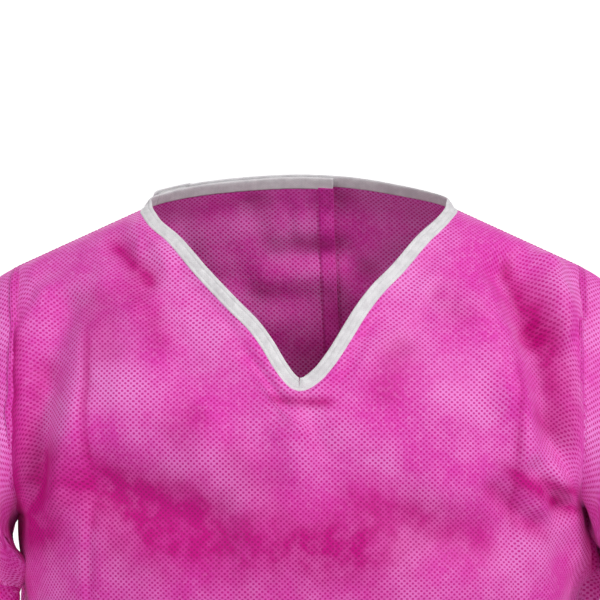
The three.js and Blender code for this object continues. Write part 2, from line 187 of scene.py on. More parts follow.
def column_x(u, v):
    size = np.abs(u)
    edge = np.where(v <= 1, CHEST_HALF, half_width(row_z(1, CHEST_HALF, v)))
    corner = NECK_HALF * edge / CHEST_HALF
    inner = size * corner
    outer = corner + (edge - corner) * np.sin(np.clip(size - 1, 0, 1) * math.pi / 2)
    return np.sign(u) * np.where(size <= 1, inner, outer)


def panel_points(side, u, v):
    x = column_x(u, v)
    z = row_z(side, x, v)
    return np.stack([x, surface_y(side, x, z), z], -1)


def rows(count_upper, count_lower):
    t = np.linspace(0, 1, count_upper + 1)
    upper = 1 - np.cos(math.pi / 2 * t)
    lower = 1 + np.linspace(0, 1, count_lower + 1) ** 1.15
    return np.concatenate([upper, lower[1:]])


def columns(count_neck, count_side):
    t = np.linspace(0, 1, count_neck + 1)
    neck = 0.4 * t + 0.3 * (1 - np.cos(math.pi * t))
    side = 1 + np.linspace(0, 1, count_side + 1)
    half = np.concatenate([neck, side[1:]])
    return np.concatenate([-half[:0:-1], half])


# ---- sleeves: w runs round from the underarm (0) over the front, the shoulder (0.5) and the back ----

SLEEVE_TILT = math.radians(20)
SLEEVE_HEM_WIDTH = 50 * MM
SLEEVE_HEM_DEPTH = 76 * MM
SLEEVE_DROP = 266 * MM
SLEEVE_HEM_X = (SLEEVE_BOX[0][0] + SLEEVE_BOX[1][0]) / 2


def ring_stations(upper_rows):
    """The armhole's outline from the underarm over the front and the shoulder to the underarm."""
    front = panel_points(-1, np.full(len(upper_rows), 2.0), upper_rows[::-1])
    back = panel_points(1, np.full(len(upper_rows), 2.0), upper_rows)
    ring = np.concatenate([front, back[1:]])
    steps = np.linalg.norm(np.diff(ring, axis=0), axis=1)
    return ring, np.concatenate([[0], np.cumsum(steps)]) / steps.sum()


def sleeve_points(hand, ring, turn, share):
    """ring: points along the armhole, turn: their share of the way round, share: 0 seam to 1 hem."""
    angle = (turn - 0.25)[None, :] * 2 * math.pi
    s = share[:, None, None]
    start = ring[None, :, :]
    down = np.array([math.sin(SLEEVE_TILT), 0, -math.cos(SLEEVE_TILT)])
    outward = np.array([math.cos(SLEEVE_TILT), 0, math.sin(SLEEVE_TILT)])
    centre = np.array([SLEEVE_HEM_X, 0, SHOULDER_Z - SLEEVE_DROP])
    end = centre + outward * (SLEEVE_HEM_WIDTH * np.sin(angle))[..., None]
    end = end - np.array([0, 1, 0]) * (SLEEVE_HEM_DEPTH * np.cos(angle))[..., None]
    reach = np.linalg.norm(end - start, axis=-1, keepdims=True)
    dip = math.radians(24) + (math.pi / 3 - math.radians(24)) * (1 - np.sin(angle)) / 2
    leave = np.stack([np.cos(dip), np.zeros_like(dip), -np.sin(dip)], -1) * reach
    arrive = down * reach
    point = (start * (1 + 2 * s) * (1 - s) ** 2 + leave * s * (1 - s) ** 2
             + end * s * s * (3 - 2 * s) + arrive * s * s * (s - 1))
    return point * np.array([hand, 1, 1])


# ---- grids of points ----


def grid_normals(points):
    """Unit normals of a grid, pointing away from the middle of the garment."""
    across = np.gradient(points, axis=1)
    along = np.gradient(points, axis=0)
    normal = np.cross(across, along)
    size = np.linalg.norm(normal, axis=-1, keepdims=True)
    return normal / np.maximum(size, 1e-12)


def facing(normals, outward):
    sign = np.sign((normals * outward).sum(-1).sum())
    return normals * (sign if sign else 1)


def cubic_weights(t):
    return np.stack([((-t + 2) * t - 1) * t / 2, ((3 * t - 5) * t * t + 2) / 2,
                     ((-3 * t + 4) * t + 1) * t / 2, (t - 1) * t * t / 2], -1)


def resample_axis(values, where, axis):
    """Smooth values of a grid at fractional indices along one axis."""
    values = np.moveaxis(values, axis, 0)
    count = values.shape[0]
    i = np.clip(np.floor(where).astype(int), 0, count - 2)
    weights = cubic_weights(where - i)
    total = 0
    for k in range(4):
        tap = values[np.clip(i + k - 1, 0, count - 1)]
        total = total + tap * weights[:, k].reshape((-1,) + (1,) * (values.ndim - 1))
    return np.moveaxis(total, 0, axis)


def resample(values, us, vs, new_us, new_vs):
    rows_at = np.interp(new_vs, vs, np.arange(len(vs)))
    columns_at = np.interp(new_us, us, np.arange(len(us)))
    return resample_axis(resample_axis(values, rows_at, 0), columns_at, 1)


class Panel:
    """A cloth panel: its grid of points, unit normals and flat positions for the bond pattern."""

    def __init__(self, us, vs, points, outward, flat):
        self.us = us
        self.vs = vs
        self.points = points
        self.outward = outward
        self.flat = flat
        self.normals = facing(grid_normals(points), outward)

    def moved(self, offset):
        return Panel(self.us, self.vs, self.points + offset, self.outward, self.flat)

    def at(self, u, v, what="points"):
        """Values at lists of u and v, taken linearly from the grid."""
        values = getattr(self, what)
        column = np.interp(u, self.us, np.arange(len(self.us)))
        row = np.interp(v, self.vs, np.arange(len(self.vs)))
        i = np.clip(column.astype(int), 0, len(self.us) - 2)
        j = np.clip(row.astype(int), 0, len(self.vs) - 2)
        a = (column - i)[:, None]
        b = (row - j)[:, None]
        top = values[j, i] * (1 - a) + values[j, i + 1] * a
        low = values[j + 1, i] * (1 - a) + values[j + 1, i + 1] * a
        return top * (1 - b) + low * b


def flat_positions(side, x, z, samples=60):
    """Lengths along the cloth from the centre and from the underarm, which the bond pattern follows."""
    t = np.linspace(0, 1, samples)
    xs = x[..., None] * t
    ys = surface_y(side, xs, z[..., None])
    u = np.hypot(np.diff(xs), np.diff(ys)).sum(-1) * np.sign(x)
    zs = UNDERARM_Z + (z - UNDERARM_Z)[..., None] * t
    ys = surface_y(side, x[..., None], zs)
    v = np.hypot(np.diff(zs), np.diff(ys)).sum(-1) * np.sign(z - UNDERARM_Z)
    return np.stack([u, v], -1)


# ---- meshes ----


PAINTED_SHADE_ATTRIBUTE = "painted_shade_amount"  # how much painted shade each point of the cloth takes, read by its material


def mesh_object(name, vertices, faces, uvs, material):
    mesh = bpy.data.meshes.new(name)
    mesh.from_pydata([tuple(p) for p in vertices], [], faces)
    layer = mesh.uv_layers.new(name="UVMap")
    corners = np.empty(len(mesh.loops), dtype=np.int32)
    mesh.loops.foreach_get("vertex_index", corners)
    layer.data.foreach_set("uv", np.asarray(uvs, dtype=np.float32)[corners].ravel())
    mesh.polygons.foreach_set("use_smooth", np.ones(len(mesh.polygons), dtype=bool))
    mesh.materials.append(material)
    mesh.update()
    piece = bpy.data.objects.new(name, mesh)
    bpy.context.scene.collection.objects.link(piece)
    return piece


def cloth_mesh(name, points, normals, flat, material, thickness, depth=None):
    """A closed sheet: the outer grid, the inner grid and the rim between them."""
    count_v, count_u = points.shape[:2]
    outer = (points + normals * thickness / 2).reshape(-1, 3)
    inner = (points - normals * thickness / 2).reshape(-1, 3)
    layer = count_v * count_u
    index = np.arange(layer).reshape(count_v, count_u)
    a, b = index[:-1, :-1].ravel(), index[:-1, 1:].ravel()
    c, d = index[1:, 1:].ravel(), index[1:, :-1].ravel()
    faces = [np.stack([a, b, c, d], -1), np.stack([d, c, b, a], -1) + layer]
    for rim in (index[0, ::-1], index[-1, :], index[:, 0], index[::-1, -1]):
        first, second = rim[:-1], rim[1:]
        faces.append(np.stack([second, first, first + layer, second + layer], -1))
    faces = np.concatenate(faces)
    vertices = np.concatenate([outer, inner])
    edge_a = points[1, 0] - points[0, 0] if count_v > 1 else np.zeros(3)
    middle = np.cross(points[0, 1] - points[0, 0], edge_a)
    if (middle * normals[0, 0]).sum() > 0:
        faces = faces[:, ::-1]
    uvs = np.concatenate([flat.reshape(-1, 2)] * 2)
    piece = mesh_object(name, vertices, faces.tolist(), uvs, material)
    # depth is the painted shade of each point, stored for the material
    if depth is not None:
        layer = piece.data.attributes.new(PAINTED_SHADE_ATTRIBUTE, "FLOAT", "POINT")
        layer.data.foreach_set("value", np.concatenate([depth.ravel()] * 2).astype(np.float32))
    return piece


def along_line(points):
    step = np.linalg.norm(np.diff(points, axis=0), axis=1)
    return np.concatenate([[0], np.cumsum(step)])


class Line:
    """Stations along a path on the cloth: the point, the way out of the cloth and the way across it."""

    def __init__(self, points, normals, spacing, towards, closed=False, steady=0):
        length = along_line(points)
        count = max(4, int(round(length[-1] / spacing)))
        at = np.linspace(0, length[-1], count + 1)
        self.points = np.stack([np.interp(at, length, points[:, k]) for k in range(3)], -1)
        out = np.stack([np.interp(at, length, normals[:, k]) for k in range(3)], -1)
        for _ in range(steady):
            ends = (out[-1:], out[:1]) if closed else (out[:1], out[-1:])
            padded = np.concatenate([ends[0], out, ends[1]])
            out = (padded[:-2] + padded[1:-1] * 2 + padded[2:]) / 4
        along = np.gradient(self.points, axis=0)
        if closed:
            along[0] = along[-1] = self.points[1] - self.points[-2]
        along /= np.linalg.norm(along, axis=1, keepdims=True)
        out -= along * (out * along).sum(1, keepdims=True)
        self.out = out / np.linalg.norm(out, axis=1, keepdims=True)
        across = np.cross(self.out, along)
        hint = towards(self.points) if callable(towards) else np.asarray(towards, float)
        sign = np.sign((across * hint).sum(-1))
        self.across = across * (sign[:, None] if callable(towards) else np.sign(sign.sum()))
        self.along = along
        self.length = at

    def part(self, span):
        """The stations of one stretch, with lengths counted from its start."""
        made = copy.copy(self)
        made.points, made.out, made.across = self.points[span], self.out[span], self.across[span]
        made.length = self.length[span] - self.length[span][0]
        return made

    def offset(self, across, out=0.0):
        across = np.asarray(across, float).reshape(-1, 1) if np.ndim(across) else across
        out = np.asarray(out, float).reshape(-1, 1) if np.ndim(out) else out
        return self.points + self.across * across + self.out * out


def sweep(name, rings, lengths, material, closed=False):
    """A solid through rings of points, one ring at each station."""
    count, sides = rings.shape[:2]
    around = np.concatenate([[0], np.cumsum(np.linalg.norm(np.diff(rings[0], axis=0), axis=1))])
    uvs = np.stack(np.broadcast_arrays(lengths[:, None], around[None, :]), -1).reshape(-1, 2)
    faces = []
    last = count if closed else count - 1
    for i in range(last):
        here, there = i * sides, ((i + 1) % count) * sides
        for k in range(sides):
            n = (k + 1) % sides
            faces.append((here + k, here + n, there + n, there + k))
    if not closed:
        faces.append(tuple(range(sides))[::-1])
        faces.append(tuple((count - 1) * sides + k for k in range(sides)))
    piece = mesh_object(name, rings.reshape(-1, 3), faces, uvs, material)
    make_outward(piece)
    return piece


def make_outward(piece):
    mesh = piece.data
    volume = 0.0
    for polygon in mesh.polygons:
        corners = [mesh.vertices[i].co for i in polygon.vertices]
        for k in range(1, len(corners) - 1):
            volume += corners[0].dot(corners[k].cross(corners[k + 1]))
    if volume < 0:
        mesh.flip_normals()


def strip(name, line, section, material, pucker=None):
    """A band along a line. section lists (across, out) pairs in millimetres, in order round its outline."""
    rings = []
    for k, (across, out) in enumerate(section):
        lift = 0 if pucker is None else pucker(line.length, across) * (1 if out > 0 else -0.3)
        rings.append(line.offset(across * MM, out * MM + lift))
    return sweep(name, np.stack(rings, 1), line.length, material)


def flat_section(low, high, thickness, bow=0.15):
    """Outline of a flat band with rounded edges, from low to high across, in millimetres."""
    half = thickness / 2
    count = max(4, int((high - low) / 2))
    top = [(low + (high - low) * i / count, half + bow * math.sin(math.pi * i / count))
           for i in range(count + 1)]
    edge = half * 0.55
    outline = [(low - edge, half * 0.5), *top, (high + edge, half * 0.5)]
    return outline + [(across, -half) for across, _ in reversed(outline)]


def stitch_row(name, line, across, out, material, stitch=2.1, gap=0.7, radius=0.16, lean=0.0):
    """A row of sewn stitches lying on a line, as small rounded rods that dip into the cloth."""
    starts = np.arange(1.0, line.length[-1] / MM - stitch, stitch + gap) * MM
    path = line.offset(across * MM, out * MM)
    sides, steps = 5, 5
    vertices, faces, uvs = [], [], []
    for start in starts:
        t = start + np.linspace(0, stitch * MM, steps)
        centre = np.stack([np.interp(t, line.length, path[:, k]) for k in range(3)], -1)
        way_out = np.stack([np.interp(t, line.length, line.out[:, k]) for k in range(3)], -1)
        way_across = np.stack([np.interp(t, line.length, line.across[:, k]) for k in range(3)], -1)
        rise = np.sin(np.linspace(0, math.pi, steps))
        centre = centre + way_out * ((rise - 0.55) * radius * MM)[:, None]
        centre = centre + way_across * (np.linspace(-lean, lean, steps) * MM)[:, None]
        base = len(vertices)
        for i in range(steps):
            size = radius * MM * (0.45 + 0.55 * rise[i])
            for k in range(sides):
                turn = 2 * math.pi * k / sides
                vertices.append(
                    centre[i] + (way_out[i] * math.cos(turn) + way_across[i] * math.sin(turn)) * size)
                uvs.append((t[i], turn * radius * MM))
        for i in range(steps - 1):
            for k in range(sides):
                n = (k + 1) % sides
                faces.append((base + i * sides + k, base + i * sides + n,
                              base + (i + 1) * sides + n, base + (i + 1) * sides + k))
        faces.append(tuple(base + k for k in range(sides))[::-1])
        faces.append(tuple(base + (steps - 1) * sides + k for k in range(sides)))
    piece = mesh_object(name, vertices, faces, uvs, material)
    make_outward(piece)
    return piece


# ---- materials ----


class Nodes:
    """Small helper that adds nodes to a material and links them."""

    def __init__(self, name):
        self.material = bpy.data.materials.new(name)
        self.material.use_nodes = True
        self.tree = self.material.node_tree
        self.shader = self.tree.nodes["Principled BSDF"]

    def add(self, kind, inputs=(), **settings):
        node = self.tree.nodes.new(kind)
        for key, value in settings.items():
            setattr(node, key, value)
        for key, value in dict(inputs).items():
            self.connect(value, node.inputs[key])
        return node

    def connect(self, value, socket):
        if isinstance(value, bpy.types.NodeSocket):
            self.tree.links.new(value, socket)
        else:
            socket.default_value = value

    def math(self, operation, a, b=0.0):
        return self.add("ShaderNodeMath", {0: a, 1: b}, operation=operation).outputs[0]

    def mix(self, factor, a, b):
        node = self.add("ShaderNodeMix", data_type="RGBA")
        self.connect(factor, node.inputs["Factor"])
        self.connect(a, node.inputs["A"])
        self.connect(b, node.inputs["B"])
        return node.outputs["Result"]

    def ramp(self, value, low, high, to_low=0.0, to_high=1.0):
        inputs = {"Value": value, "From Min": low, "From Max": high, "To Min": to_low, "To Max": to_high}
        return self.add("ShaderNodeMapRange", inputs, interpolation_type="SMOOTHSTEP").outputs["Result"]

    def noise(self, scale, detail=3.0, roughness=0.5, vector=None, distortion=0.0):
        inputs = {"Scale": scale, "Detail": detail, "Roughness": roughness, "Distortion": distortion}
        if vector is not None:
            inputs["Vector"] = vector
        return self.add("ShaderNodeTexNoise", inputs).outputs["Fac"]

    def bump(self, height, strength, distance, normal=None):
        inputs = {"Height": height, "Strength": strength, "Distance": distance}
        if normal is not None:
            inputs["Normal"] = normal
        return self.add("ShaderNodeBump", inputs).outputs["Normal"]


def colour(red, green, blue):
    """A linear colour from 0-255 display values."""
    def linear(value):
        value /= 255
        return value / 12.92 if value <= 0.04045 else ((value + 0.055) / 1.055) ** 2.4
    return (linear(red), linear(green), linear(blue), 1.0)


DOT_PITCH_ACROSS = 4.2 * MM
DOT_PITCH_ALONG = 3.85 * MM


def bond_dots(nodes, uv, pitch_across, pitch_along, low, high):
    """Staggered diamond bond points: 1 on a point, 0 between."""
    split = nodes.add("ShaderNodeSeparateXYZ", {"Vector": uv})
    across = nodes.math("MULTIPLY", split.outputs[0], 2 * math.pi / pitch_across)
    along = nodes.math("MULTIPLY", split.outputs[1], 2 * math.pi / pitch_along)
    wave = nodes.math("MULTIPLY", nodes.math("COSINE", across), nodes.math("COSINE", along))
    return nodes.ramp(wave, low, high)


def flat_vector(nodes):
    return nodes.add("ShaderNodeUVMap", uv_map="UVMap").outputs["UV"]


def gown_cloth(name, light, middle, dot, shaded_web, shaded_dot, dot_strength=0.95):
    """Spunbond nonwoven: cloudy fibre web, pressed diamond bond points, soft sheen and painted shade in
    folds.
    """
    nodes = Nodes(name)
    uv = flat_vector(nodes)
    place = nodes.add("ShaderNodeTexCoord").outputs["Object"]
    clouds = nodes.noise(17.0, 4.0, 0.55, uv)
    clumps = nodes.noise(230.0, 3.0, 0.65, uv, 0.6)
    fibres = nodes.noise(1500.0, 2.0, 0.7, uv, 1.5)
    dots = bond_dots(nodes, uv, DOT_PITCH_ACROSS, DOT_PITCH_ALONG, 0.02, 0.46)
    uneven = nodes.ramp(nodes.noise(310.0, 1.0, 0.5, uv), 0.2, 0.55, 0.6, 1.0)
    pressed = nodes.math("MULTIPLY", dots, uneven)
    web = nodes.mix(nodes.ramp(clouds, 0.34, 0.70, 0.05, 0.95), middle, light)
    web = nodes.mix(nodes.ramp(clumps, 0.45, 0.75, 0.0, 0.55), web, light)
    web = nodes.mix(nodes.ramp(fibres, 0.5, 0.8, 0.0, 0.4), web, middle)
    # Painted shade: where a point attribute marks folds and shade, the web and the bond points take their
    # shaded colours; noise roughens its edges.
    painted_shade = nodes.add("ShaderNodeAttribute", attribute_name=PAINTED_SHADE_ATTRIBUTE).outputs["Fac"]
    broken = nodes.ramp(nodes.noise(60.0, 3.0, 0.6, uv), 0.25, 0.75, -0.25, 0.25)
    painted_shade = nodes.add("ShaderNodeMath",
                     {0: nodes.math("ADD", painted_shade, nodes.math("MULTIPLY", broken, painted_shade)), 1: 0.0},
                     operation="ADD", use_clamp=True).outputs[0]
    web = nodes.mix(painted_shade, web, shaded_web)
    point = nodes.mix(painted_shade, dot, shaded_dot)
    shade = nodes.mix(nodes.math("MULTIPLY", pressed, dot_strength), web, point)
    nodes.connect(shade, nodes.shader.inputs["Base Color"])
    nodes.connect(nodes.ramp(pressed, 0.0, 1.0, 0.62, 0.45), nodes.shader.inputs["Roughness"])
    fine = nodes.math("MULTIPLY", fibres, 0.35)
    height = nodes.math("SUBTRACT", nodes.math("ADD", nodes.math("MULTIPLY", clumps, 0.5), fine), pressed)
    ripples = nodes.noise(20.0, 3.0, 0.5, place)
    soft = nodes.bump(ripples, 0.4, 5.0 * MM)
    nodes.connect(nodes.bump(height, 0.55, 0.3 * MM, soft), nodes.shader.inputs["Normal"])
    nodes.shader.inputs["Sheen Weight"].default_value = 0.05
    nodes.shader.inputs["Sheen Roughness"].default_value = 0.35
    nodes.shader.inputs["Sheen Tint"].default_value = (1.0, 0.90, 0.97, 1.0)
    nodes.shader.inputs["Specular IOR Level"].default_value = 0.22
    return nodes.material


def binding_cloth(name):
    """White nonwoven tape: faint bond points, fibres and small creases."""
    nodes = Nodes(name)
    uv = flat_vector(nodes)
    place = nodes.add("ShaderNodeTexCoord").outputs["Object"]
    dots = bond_dots(nodes, uv, 2.4 * MM, 2.2 * MM, 0.35, 0.8)
    clouds = nodes.noise(120.0, 4.0, 0.6, place)
    fibres = nodes.noise(1900.0, 2.0, 0.7, place, 1.2)
    web = nodes.mix(nodes.ramp(clouds, 0.3, 0.7), colour(222, 219, 222), colour(240, 238, 240))
    web = nodes.mix(nodes.ramp(fibres, 0.45, 0.8, 0.0, 0.35), web, colour(196, 193, 198))
    shade = nodes.mix(nodes.math("MULTIPLY", dots, 0.16), web, colour(176, 172, 178))
    nodes.connect(shade, nodes.shader.inputs["Base Color"])
    nodes.connect(nodes.ramp(clouds, 0.2, 0.8, 0.72, 0.88), nodes.shader.inputs["Roughness"])
    stretched = nodes.add("ShaderNodeMapping", {"Vector": uv, "Scale": (260.0, 90.0, 1.0)}).outputs["Vector"]
    creases = nodes.noise(1.0, 3.0, 0.6, stretched, 0.8)
    soft = nodes.bump(creases, 0.5, 0.9 * MM)
    height = nodes.math("SUBTRACT", fibres, nodes.math("MULTIPLY", dots, 0.5))
    nodes.connect(nodes.bump(height, 0.35, 0.15 * MM, soft), nodes.shader.inputs["Normal"])
    nodes.shader.inputs["Sheen Weight"].default_value = 0.15
    nodes.shader.inputs["Specular IOR Level"].default_value = 0.25
    return nodes.material


def sewing_thread(name, tone, shadow):
    """Twisted two-ply thread."""
    nodes = Nodes(name)
    uv = flat_vector(nodes)
    split = nodes.add("ShaderNodeSeparateXYZ", {"Vector": uv})
    along = nodes.math("MULTIPLY", split.outputs[0], 9000.0)
    around = nodes.math("MULTIPLY", split.outputs[1], 9000.0)
    twist = nodes.math("SINE", nodes.math("ADD", along, around))
    nodes.connect(nodes.mix(nodes.ramp(twist, -1.0, 1.0), shadow, tone), nodes.shader.inputs["Base Color"])
    nodes.connect(nodes.bump(twist, 0.5, 0.06 * MM), nodes.shader.inputs["Normal"])
    nodes.shader.inputs["Roughness"].default_value = 0.6
    nodes.shader.inputs["Sheen Weight"].default_value = 0.2
    return nodes.material


def hook_and_loop(name):
    """Fuzzy loop tape: short fibres in rows."""
    nodes = Nodes(name)
    uv = flat_vector(nodes)
    loops = bond_dots(nodes, uv, 1.1 * MM, 1.3 * MM, -0.2, 0.8)
    fuzz = nodes.noise(2600.0, 3.0, 0.7, uv, 1.0)
    web = nodes.mix(nodes.ramp(fuzz, 0.35, 0.7), colour(222, 220, 221), colour(242, 241, 240))
    nodes.connect(nodes.mix(nodes.math("MULTIPLY", loops, 0.25), web, colour(205, 202, 205)),
                  nodes.shader.inputs["Base Color"])
    height = nodes.math("ADD", nodes.math("MULTIPLY", loops, 0.7), nodes.math("MULTIPLY", fuzz, 0.6))
    nodes.connect(nodes.bump(height, 0.7, 0.3 * MM), nodes.shader.inputs["Normal"])
    nodes.connect(nodes.ramp(fuzz, 0.2, 0.8, 0.85, 0.98), nodes.shader.inputs["Roughness"])
    nodes.shader.inputs["Sheen Weight"].default_value = 0.4
    return nodes.material


def pale_floor(name):
    nodes = Nodes(name)
    place = nodes.add("ShaderNodeTexCoord").outputs["Object"]
    grain = nodes.noise(6.0, 3.0, 0.5, place)
    nodes.connect(nodes.mix(grain, colour(238, 238, 240), colour(244, 244, 245)),
                  nodes.shader.inputs["Base Color"])
    nodes.shader.inputs["Roughness"].default_value = 0.9
    return nodes.material


# The fourth and fifth colours of each cloth are its painted shade colours, for the web and for the bond
# points.
CLOTH = gown_cloth("gown_cloth", colour(248, 146, 226), colour(236, 70, 192), colour(216, 0, 146),
                   colour(206, 4, 138),
                   colour(168, 0, 110))
HEM_CLOTH = gown_cloth("gown_cloth_double", colour(240, 112, 206), colour(226, 48, 178), colour(204, 0, 136),
                       colour(196, 2, 130),
                       colour(160, 0, 104))
WHITE = binding_cloth("white_binding")
WHITE_THREAD = sewing_thread("white_thread", colour(236, 235, 236), colour(188, 186, 190))
PINK_THREAD = sewing_thread("pink_thread", colour(214, 60, 162), colour(150, 16, 100))
HOOK = hook_and_loop("hook_and_loop")


# ---- folds of the cloth ----

# Each fold runs from (x, z) to (x, z) with a half-width and a height, all in millimetres.
# A negative height is a valley. A sharp narrow one is a crease left by the folded packet.
FRONT_FOLDS = [
    (-158, -70, -160, -1040, 2.4, -1.6), (-163.5, -70, -165, -1040, 6, 1.6), (-150, -70, -152, -1040, 7, 0.8),
    (161, -100, 163, -1040, 2.4, -1.4), (167, -100, 168, -1040, 5, 1.2),
    (-52, -90, -54, -1040, 1.8, -0.7), (56, -150, 57, -1040, 1.8, -0.7),
    (-143, -22, -106, -60, 10, -4.4), (-130, -10, -92, -46, 10, 3.4), (-156, -44, -120, -88, 13, 2.6),
    (152, -34, 182, -100, 15, -15.0), (178, -88, 196, -196, 14, -14.0), (188, -26, 203, -104, 12, 10.0),
    (136, -56, 160, -150, 18, 6.0), (158, -128, 190, -232, 14, 9.0), (172, -190, 204, -236, 9, -10.0),
    (186, -176, 206, -226, 7, 5.0), (140, -205, 186, -244, 9, -6.0),
    (-172, -60, -192, -130, 14, -9.0), (-188, -118, -201, -222, 12, -11.0), (-164, -140, -182, -232, 15, 8.0),
    (-170, -202, -44, -240, 28, -15.0), (-150, -146, -56, -166, 28, 6.0), (-40, -222, 90, -206, 28, -6.0),
    (60, -236, 170, -244, 26, -10.0), (-30, -156, 70, -160, 28, 4.0), (50, -110, 124, -166, 26, 5.0),
    (-104, -92, -66, -150, 18, -3.4), (96, -76, 70, -140, 18, -2.6), (-8, -142, -34, -184, 9, -2.6),
    (4, -142, 22, -188, 9, -2.4), (0, -142, -3, -206, 10, 2.4), (-120, -70, -96, -120, 16, 2.2),
]

BACK_FOLDS = [
    (-30, 20, -60, -180, 12, 2.4), (40, 18, 80, -190, 13, 2.6), (150, -30, 205, -180, 12, -4.2),
    (-150, -30, -205, -180, 12, -4.4), (140, -120, 208, -228, 13, 4.2), (-140, -120, -208, -228, 13, 4.0),
    (158, -70, 160, -1040, 1.8, -0.9), (-158, -70, -160, -1040, 1.8, -0.9), (58, -60, 57, -1040, 1.8, -0.7),
]


def fold_height(folds, x, z):
    """How far the folds raise the cloth at x, z, in metres."""
    x = np.asarray(x) / MM
    z = np.asarray(z) / MM
    total = np.zeros_like(x + z)
    for ax, az, bx, bz, width, height in folds:
        length = math.hypot(bx - ax, bz - az)
        dx, dz = (bx - ax) / length, (bz - az) / length
        along = ((x - ax) * dx + (z - az) * dz) / length
        beside = (x - ax) * dz - (z - az) * dx
        ends = smooth(-0.12, 0.18, along) * (1 - smooth(0.82, 1.12, along))
        total += height * np.exp(-(beside / width) ** 2) * ends
    return total * MM


# Painted shade in the folds and under the chest; the broadest patches also darken the cloth towards the
# bottom.
# Patches painted deeper in colour, placed where the photo is darker. Each is from (x, z)
# to (x, z) in millimetres, a half-width and a strength.
FRONT_SHADE_PATCHES = [
    (160, -34, 178, -78, 5, 0.9), (174, -66, 196, -120, 7, 1.0), (188, -84, 206, -170, 14, 0.7),
    (170, -52, 190, -96, 14, 0.5), (150, -190, 212, -236, 7, 0.95), (180, -204, 216, -216, 6, 0.8),
    (176, -150, 214, -180, 8, 0.5), (140, -206, 190, -250, 9, 0.6),
    (-172, -200, -64, -232, 24, 1.0), (-150, -240, 80, -256, 30, 0.9), (-184, -176, -204, -262, 24, 1.0),
    (-214, -80, -216, -250, 8, 0.9), (-194, -110, -206, -180, 8, 0.5),
    (-144, -22, -108, -58, 7, 0.9), (-128, -48, -98, -110, 12, 0.5), (-158, -90, -157, -240, 3, 0.7),
    (-150, -60, -142, -120, 16, 0.4), (80, -96, 60, -150, 14, 0.45), (-22, -144, 26, -147, 4, 0.8),
    (30, -214, 150, -250, 18, 0.7), (-70, -150, -96, -176, 16, 0.4), (163, -110, 163, -240, 3, 0.5),
    (-60, -180, -10, -210, 14, 0.35), (100, -60, 132, -90, 12, 0.3), (0, -250, 0, -1500, 420, 0.45),
]
# Painted shade on the back: deeper colour at the sides below the arms and towards the bottom.
BACK_SHADE_PATCHES = [(-190, -150, -206, -236, 20, 0.8), (190, -150, 206, -236, 20, 0.8),
               (0, -300, 0, -1040, 400, 0.35)]


def painted_shade_at(shade_patches, x, z):
    """How much painted shade the cloth takes at x, z: from 0, none, to 1, its full shaded colour."""
    left = np.ones_like(x + z)
    for ax, az, bx, bz, width, strength in shade_patches:
        left = left * (1 - fold_height([(ax, az, bx, bz, width, strength)], x, z) / MM)
    return 1 - left


def drape_height(side, x, z):
    """Soft upright waves that grow towards the bottom edge, and faint shallow ones higher up."""
    turn = np.arctan2(side * np.sqrt(np.clip(1 - (x / half_width(z)) ** 2, 0, 1)), x / half_width(z))
    grow = smooth(UNDERARM_Z, -LENGTH, z)
    waves = (np.sin(turn * 9 + 0.6 + 1.2 * np.sin(turn * 2)) + 0.5 * np.sin(turn * 17 + 2.0))
    ripple = np.sin(x * 21 + z * 9 + 1.0) * np.sin(z * 33 - x * 7) + 0.6 * np.sin(x * 47 - z * 15 + 0.5)
    calm = smooth(0.0, 0.05, ridge_z(x) - z)
    return (waves * grow * 7.5 + ripple * 0.55 * calm) * MM


# ---- draping: the whole garment falls as one welded cloth over a hidden body ----

SIM_FRAMES = 34
SIM_FULLNESS = 0.035  # how much wider than the body's surface the cloth is cut


def sim_grids():
    us = columns(9, 9)
    vs = np.concatenate([np.linspace(0, 1, 15), 1 + np.linspace(0, 1, 48)[1:]])
    front = panel_points(-1, us[None, :], vs[:, None])
    back = panel_points(1, us[None, :], vs[:, None])
    upper = vs[vs <= 1]
    ring, turn = ring_stations(upper)
    share = np.linspace(0, 1, 14)
    sleeves = {hand: sleeve_points(hand, ring, turn, share) for hand in (1, -1)}
    return us, vs, front, back, turn, share, sleeves


def body_collider():
    """A plain torso with two arms, a little inside the gown, that only the draping uses."""
    us = columns(6, 9)
    vs = rows(14, 20)
    grids = []
    for side in (-1, 1):
        points = panel_points(side, us[None, :], vs[:, None])
        z = points[..., 2]
        slim = (1 - 0.30 * smooth(-0.20, -0.44, z) + 0.17 * smooth(-0.44, -0.64, z)
                - 0.25 * smooth(-0.66, -1.0, z))
        near = 1 - 0.035 * smooth(0.0, -0.05, z)
        points = points * np.stack([slim * near, slim * near, np.ones_like(z)], -1)
        points[..., 2] -= 5 * MM
        grids.append(points)
    ring, turn = ring_stations(vs[vs <= 1])
    for hand in (1, -1):
        tube = sleeve_points(hand, ring, turn, np.linspace(0, 1, 10))
        middle = tube[:, :-1].mean(1, keepdims=True)
        shrink = np.linspace(0.93, 0.62, 10)[:, None, None]
        grids.append(middle + (tube - middle) * shrink - np.array([0, 0, 3 * MM]))
    return grids


def grid_faces(grids):
    vertices, faces, base = [], [], 0
    for points in grids:
        count_v, count_u = points.shape[:2]
        index = np.arange(count_v * count_u).reshape(count_v, count_u) + base
        faces += np.stack([index[:-1, :-1].ravel(), index[:-1, 1:].ravel(),
                           index[1:, 1:].ravel(), index[1:, :-1].ravel()], -1).tolist()
        vertices.append(points.reshape(-1, 3))
        base += count_v * count_u
    return np.concatenate(vertices), faces


def weld(vertices, faces, distance=0.5 * MM):
    """Joins vertices that coincide. Returns the kept vertices, the faces and each old vertex's new index."""
    keys = {}
    new_index = np.empty(len(vertices), dtype=int)
    kept = []
    for i, point in enumerate(vertices):
        key = tuple(np.round(point / distance).astype(int))
        if key not in keys:
            keys[key] = len(kept)
            kept.append(point)
        new_index[i] = keys[key]
    joined = []
    for face in faces:
        corners = list(dict.fromkeys(new_index[face]))
        if len(corners) > 2:
            joined.append([int(c) for c in corners])
    return np.array(kept), joined, new_index


